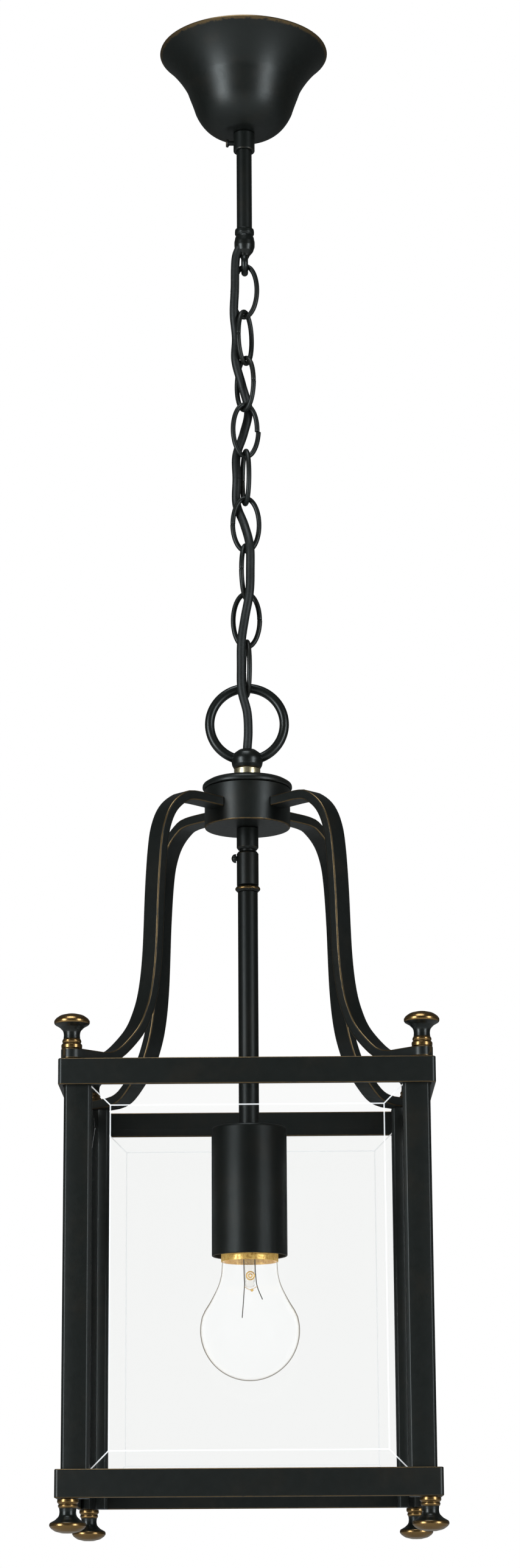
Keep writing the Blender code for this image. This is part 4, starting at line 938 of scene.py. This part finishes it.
def makeBulb():
    look = bulbLook
    low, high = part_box("bulb_glass")
    capLow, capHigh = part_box("bulb_cap")
    globe = high.x
    centre = low.z + globe
    neck = look["neck"]
    lower = capLow.z
    shoulder = [Vector((radius * globe, 0, centre + height * globe)) for radius, height in look["outline"]]
    profile = [Vector((0, high.z)), Vector((neck, high.z)), Vector((neck, lower - 0.0008))]
    profile += [Vector((point.x, point.z)) for point in smoothRoute(shoulder, 0.0012)]
    for step in range(41):
        turn = math.radians(look["arcFrom"] - (90 + look["arcFrom"]) * step / 40)
        profile.append(Vector((globe * math.cos(turn), centre + globe * math.sin(turn))))
    profile[-1].x = 0.0
    piece("bulbGlobe", spun(profile, 112), "bulb", bulbPaintedLight, ["bulb_glass"], 60)

    radius = capHigh.x
    top = capHigh.z
    thread = [(0, top), (0.0045, top, 0.0006), (0.0052, top - 0.0020, 0.0004),
              (radius - 0.0024, top - 0.0062), (radius - 0.0010, top - 0.0080)]
    pitch = 0.0036
    for turnNumber in range(4):
        z = top - 0.0092 - turnNumber * pitch
        thread += [(radius, z, 0.0008), (radius - 0.0011, z - pitch / 2, 0.0008)]
    thread += [(radius - 0.0006, lower + 0.0012), (radius - 0.0004, lower, 0.0003), (neck + 0.0003, lower),
               (neck + 0.0003, top - 0.011), (0, top - 0.011)]
    piece("bulbCap", spun(rounded(thread, 4), 72), "bulb", capMetal, ["bulb_cap"], 60)

    # the mount: a glass stem that ends in a pinch, a hook over it, two leads and the filament
    pinch = centre + globe * 0.86
    mount = spun(rounded([(0, lower + 0.004), (0.0060, lower + 0.004), (0.0042, lower - 0.006, 0.006),
                          (0.0030, pinch + 0.004, 0.003), (0.0028, pinch, 0.0016), (0, pinch)]), 48)
    for vert in mount.verts:
        vert.co.y *= 0.7
    piece("bulbStem", mount, "bulb", stemClear, (), 60)
    wires = bmesh.new()
    leads = (((-0.0036, 1.46), (-0.0034, 1.08), (-0.0033, 0.86), (-0.0047, 0.25)),
             ((0.0030, 1.46), (0.0036, 1.08), (0.0046, 0.86), (0.0076, 0.615)))
    for lead in leads:
        bend = [Vector((x, 0.0006, centre + height * globe)) for x, height in lead]
        sweptRound(smoothRoute(bend, 0.001), look["wire"], 10, False, wires)
    piece("bulbLeads", wires, "bulb", leadWire, (), 60)
    hooks = bmesh.new()
    hookZ = centre + globe * 1.08
    for size in (1.0, 0.45):
        ring = [Vector((0.0004 + size * look["ring"] * math.cos(turn), -0.0031,
                        hookZ + size * look["ring"] * math.sin(turn)))
                for turn in [math.tau * step / 32 for step in range(32)]]
        sweptRound(ring, look["support"], 10, True, hooks)
    knot = bmesh.new()
    bmesh.ops.create_uvsphere(knot, u_segments=20, v_segments=12, radius=0.0009,
                              matrix=Matrix.Translation((0.0013, 0, centre + globe * 0.80)))
    join(hooks, knot)
    piece("bulbHooks", hooks, "bulb", amberPaintedGlow, (), 60)
    ends = smoothRoute([(-0.0033, 0.0006, centre + globe * 0.87), (0.0004, 0, centre + globe * 0.81),
                        (0.0046, 0.0006, centre + globe * 0.88)], 0.00012)
    coil = []
    for index, point in enumerate(ends):
        turn = index * 1.1
        coil.append(point + Vector((0, math.cos(turn), math.sin(turn))) * look["coil"])
    piece("bulbFilament", sweptRound(coil, 0.00010, 6), "bulb", amberPaintedGlow, (), 60)


makeHolderRing()
makeLampholder()
makeBulb()
print("lamp made")


bandLook = {"thickness": 0.0030, "corner": 0.0006, "bend": 0.0024, "rubReach": 0.0012}


def makeBand(name, node):
    look = bandLook
    low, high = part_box(node)
    thick = look["thickness"]
    middleZ = (low.z + high.z) / 2
    section = barSection(thick, high.z - low.z, look["corner"], look["rubReach"] * 0.5)
    bend = look["bend"]
    stations = []
    for corner in range(4):
        start = math.radians(90 * corner)
        signs = ((1, 1), (-1, 1), (-1, -1), (1, -1))[corner]
        centre = Vector((signs[0] * (high.x - bend), signs[1] * (high.x - bend), middleZ))
        for step in range(7):
            turn = start + math.radians(15 * step)
            out = Vector((math.cos(turn), math.sin(turn), 0))
            stations.append((centre + out * (bend - thick / 2), out, Vector((0, 0, 1)), 1.0))
    bm = sweptBar(section, stations, True)
    piece(name, bm, "lantern", bronze, [node], 50)


postLook = {"chamfer": 0.0015, "grooveDepth": 0.0040, "groove": 0.0036}


def makePost(corner, signs):
    look = postLook
    low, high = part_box("post_" + corner)
    inner = min(abs(low.x), abs(high.x))
    outer = max(abs(low.x), abs(high.x))
    glass = abs(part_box("glass_right")[0].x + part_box("glass_right")[1].x) / 2
    cut = look["chamfer"]
    half = look["groove"] / 2
    depth = look["grooveDepth"]
    outline = [(outer, inner + cut), (outer, outer - cut), (outer - cut, outer), (inner + cut, outer),
               (inner, outer - cut), (inner, glass + half), (inner + depth, glass + half),
               (inner + depth, glass - half), (inner, glass - half), (inner, inner + cut),
               (inner + cut, inner),
               (glass - half, inner), (glass - half, inner + depth), (glass + half, inner + depth),
               (glass + half, inner), (outer - cut, inner)]
    bm = bmesh.new()
    loops = []
    for z in (low.z, high.z):
        verts = [bm.verts.new((x, y, z)) for x, y in outline]
        loops.append([bm.edges.new((a, b)) for a, b in zip(verts, verts[1:] + verts[:1])])
        bm.faces.new(verts)
    bmesh.ops.bridge_loops(bm, edges=loops[0] + loops[1])
    upright = [edge for edge in bm.edges if abs(edge.verts[0].co.z - edge.verts[1].co.z) > 0.01
               and edge.calc_face_angle(0) > 0.3 and edge.verts[0].co.x > inner + 0.0008]
    bmesh.ops.bevel(bm, geom=upright, offset=0.00035, segments=2, profile=0.5, affect="EDGES", material=-1)
    bm.transform(Matrix.Diagonal((signs[0], signs[1], 1, 1)))
    bmesh.ops.recalc_face_normals(bm, faces=bm.faces)
    rubWhere(bm, lambda place: 0.0)
    piece("post" + titled(corner), bm, "lantern", bronze, ["post_" + corner], 30)


paneLook = {"bevelIn": 0.0110, "bevelRise": 0.0010, "line": 0.00035}


def makePane(side, turn):
    look = paneLook
    node = "glass_" + side
    low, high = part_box(node)
    width = max(high.x - low.x, high.y - low.y)
    thick = min(high.x - low.x, high.y - low.y)
    plane = max(abs(low.x + high.x), abs(low.y + high.y)) / 2
    postInner = min(abs(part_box("post_front_right")[0].x), abs(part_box("post_front_right")[1].x))
    border = look["bevelIn"] + width / 2 - postInner
    bm = bmesh.new()
    size = (width, thick, high.z - low.z)
    bmesh.ops.create_cube(bm, size=1.0, matrix=Matrix.Translation((0, -plane, (low.z + high.z) / 2))
                          @ Matrix.Diagonal((*size, 1)))
    bm.faces.ensure_lookup_table()
    front = min(bm.faces, key=lambda face: face.calc_center_median().y)
    bmesh.ops.inset_individual(bm, faces=[front], thickness=border, use_even_offset=True)
    outerVerts = {vert for edge in front.edges for vert in edge.verts}
    for vert in bm.verts:
        if vert not in outerVerts and vert.co.y < -plane:
            vert.co.y += look["bevelRise"]
    ridge = [edge for edge in bm.edges if edge in front.edges or
             (edge.verts[0] in outerVerts) != (edge.verts[1] in outerVerts)
             and max(edge.verts[0].co.y, edge.verts[1].co.y) < -plane]
    # the narrow bevel faces take the second finish, the glowing painted highlight line
    bmesh.ops.bevel(bm, geom=ridge, offset=look["line"], segments=1, profile=0.5, affect="EDGES", material=1)
    bm.transform(Matrix.Rotation(math.radians(turn), 4, "Z"))
    bmesh.ops.recalc_face_normals(bm, faces=bm.faces)
    piece("pane" + side.title(), bm, "lantern", [paneClear, bevelPaintedHighlight], [node], 1)


knobLook = {"steps": 56, "head": 0.0104, "goldFoot": 0.27, "goldHead": 0.70}


def makeKnob(name, node, tall, flip, replaced):
    look = knobLook
    low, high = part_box(node)
    x = (low.x + high.x) / 2
    y = (low.y + high.y) / 2
    head = look["head"]
    profile = rounded([(0, 0), (0.0060, 0, 0.0002), (0.0061, tall * 0.06, 0.0008),
                       (0.0061, tall * 0.10, 0.0008),
                       (0.0052, tall * 0.155, 0.0002), (0.0056, tall * 0.19, 0.0005),
                       (0.0055, tall * 0.23, 0.0005), (0.0049, tall * 0.28, 0.0003),
                       (0.0047, tall * 0.38, 0.004), (0.0050, tall * 0.50, 0.004),
                       (0.0072, tall * 0.61, 0.004), (0.0100, tall * 0.69, 0.0012),
                       (head, tall * 0.735, 0.0005), (head, tall * 0.79, 0.0008),
                       (0.0094, tall * 0.86, 0.002), (0.0070, tall * 0.945, 0.005),
                       (0.0030, tall * 0.995, 0.004), (0, tall)], 6)
    bm = spun(profile, look["steps"])

    def gold(place):
        share = place.z / tall
        if share < look["goldFoot"]:
            return 1.0
        if share > look["goldHead"]:
            return 0.75
        return 0.0

    rubWhere(bm, gold)
    if flip:
        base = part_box("bottom_band")[0].z - 0.0003
        bm.transform(Matrix.Rotation(math.pi, 4, "X"))
        bmesh.ops.recalc_face_normals(bm, faces=bm.faces)
    else:
        base = high.z - tall
    bm.transform(Matrix.Translation((x, y, base)))
    piece(name, bm, "lantern", knobBronze, replaced, 50)


makeBand("topBand", "top_band")
makeBand("bottomBand", "bottom_band")
corners = {"front_right": (1, -1), "back_right": (1, 1), "back_left": (-1, 1), "front_left": (-1, -1)}
for corner, signs in corners.items():
    makePost(corner, signs)
    makeKnob("topFinial" + titled(corner), "top_finial_" + corner, 0.0205, False, ["top_finial_" + corner])
    makeKnob("foot" + titled(corner), "foot_" + corner, 0.0190, True, ["foot_" + corner])
for side, turn in {"front": 0, "right": 90, "back": 180, "left": 270}.items():
    makePane(side, turn)
print("frame made")


armLook = {"width": 0.0125, "thickness": 0.0060, "corner": 0.0008, "rubReach": 0.0008, "spacing": 0.0030,
           "shoulder": 0.0765, "knee": 0.0840, "hubDrop": 0.0126, "finialRadius": 0.1020 * math.sqrt(2)}


def armLine():
    look = armLook
    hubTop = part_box("hub")[1].z
    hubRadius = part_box("hub")[1].x
    hubZ = hubTop - look["hubDrop"]
    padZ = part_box("arm_front_right")[0].z + look["thickness"] / 2
    drop = hubZ - padZ
    shoulder = look["shoulder"]
    knee = look["knee"]
    padStart = look["finialRadius"] - 0.0270
    return padZ, [(hubRadius, hubZ), (shoulder - 0.0262, hubZ - 0.0002), (shoulder - 0.0172, hubZ - 0.0033),
                  (shoulder - 0.0085, hubZ - 0.0110), (shoulder - 0.0030, hubZ - 0.0220),
                  (shoulder - 0.0002, hubZ - 0.0360), (shoulder + 0.0020, hubZ - drop * 0.36),
                  (shoulder + 0.0041, hubZ - drop * 0.60), (knee, hubZ - drop * 0.74),
                  (knee + 0.0053, hubZ - drop * 0.83), (knee + 0.0120, hubZ - drop * 0.895),
                  (padStart - 0.0090, padZ + 0.0060), (padStart - 0.0010, padZ + 0.0014),
                  (padStart + 0.0070, padZ)]


def makeArm(corner, angle):
    look = armLook
    padZ, line = armLine()
    route = smoothRoute([(radius, 0, z) for radius, z in line], look["spacing"])
    halfWidth = look["width"] / 2
    stations = []
    across = Vector((0, 1, 0))
    places = [(point, 1.0) for point in route]
    last = route[-1]
    for share in (0.35, 0.7, 1.0):
        places.append((Vector((last.x + (look["finialRadius"] - last.x) * share, 0, padZ)), 1.0))
    for step in range(1, 12):
        turn = math.radians(90 * step / 12)
        scale = max(math.cos(turn), 0.24)
        places.append((Vector((look["finialRadius"] + halfWidth * math.sin(turn), 0, padZ)), scale))
    for index, (point, scale) in enumerate(places):
        before = places[max(index - 1, 0)][0]
        after = places[min(index + 1, len(places) - 1)][0]
        along = (after - before).normalized()
        stations.append((point, across, across.cross(along) * -1, scale))
    section = barSection(look["width"], look["thickness"], look["corner"], look["rubReach"])
    bm = sweptBar(section, stations)
    bm.transform(Matrix.Rotation(math.radians(angle), 4, "Z"))
    piece("arm" + titled(corner), bm, "lantern", bronze, ["arm_" + corner], 50)


for corner, angle in {"front_right": -45, "back_right": 45, "back_left": 135, "front_left": 225}.items():
    makeArm(corner, angle)
print("arms made")
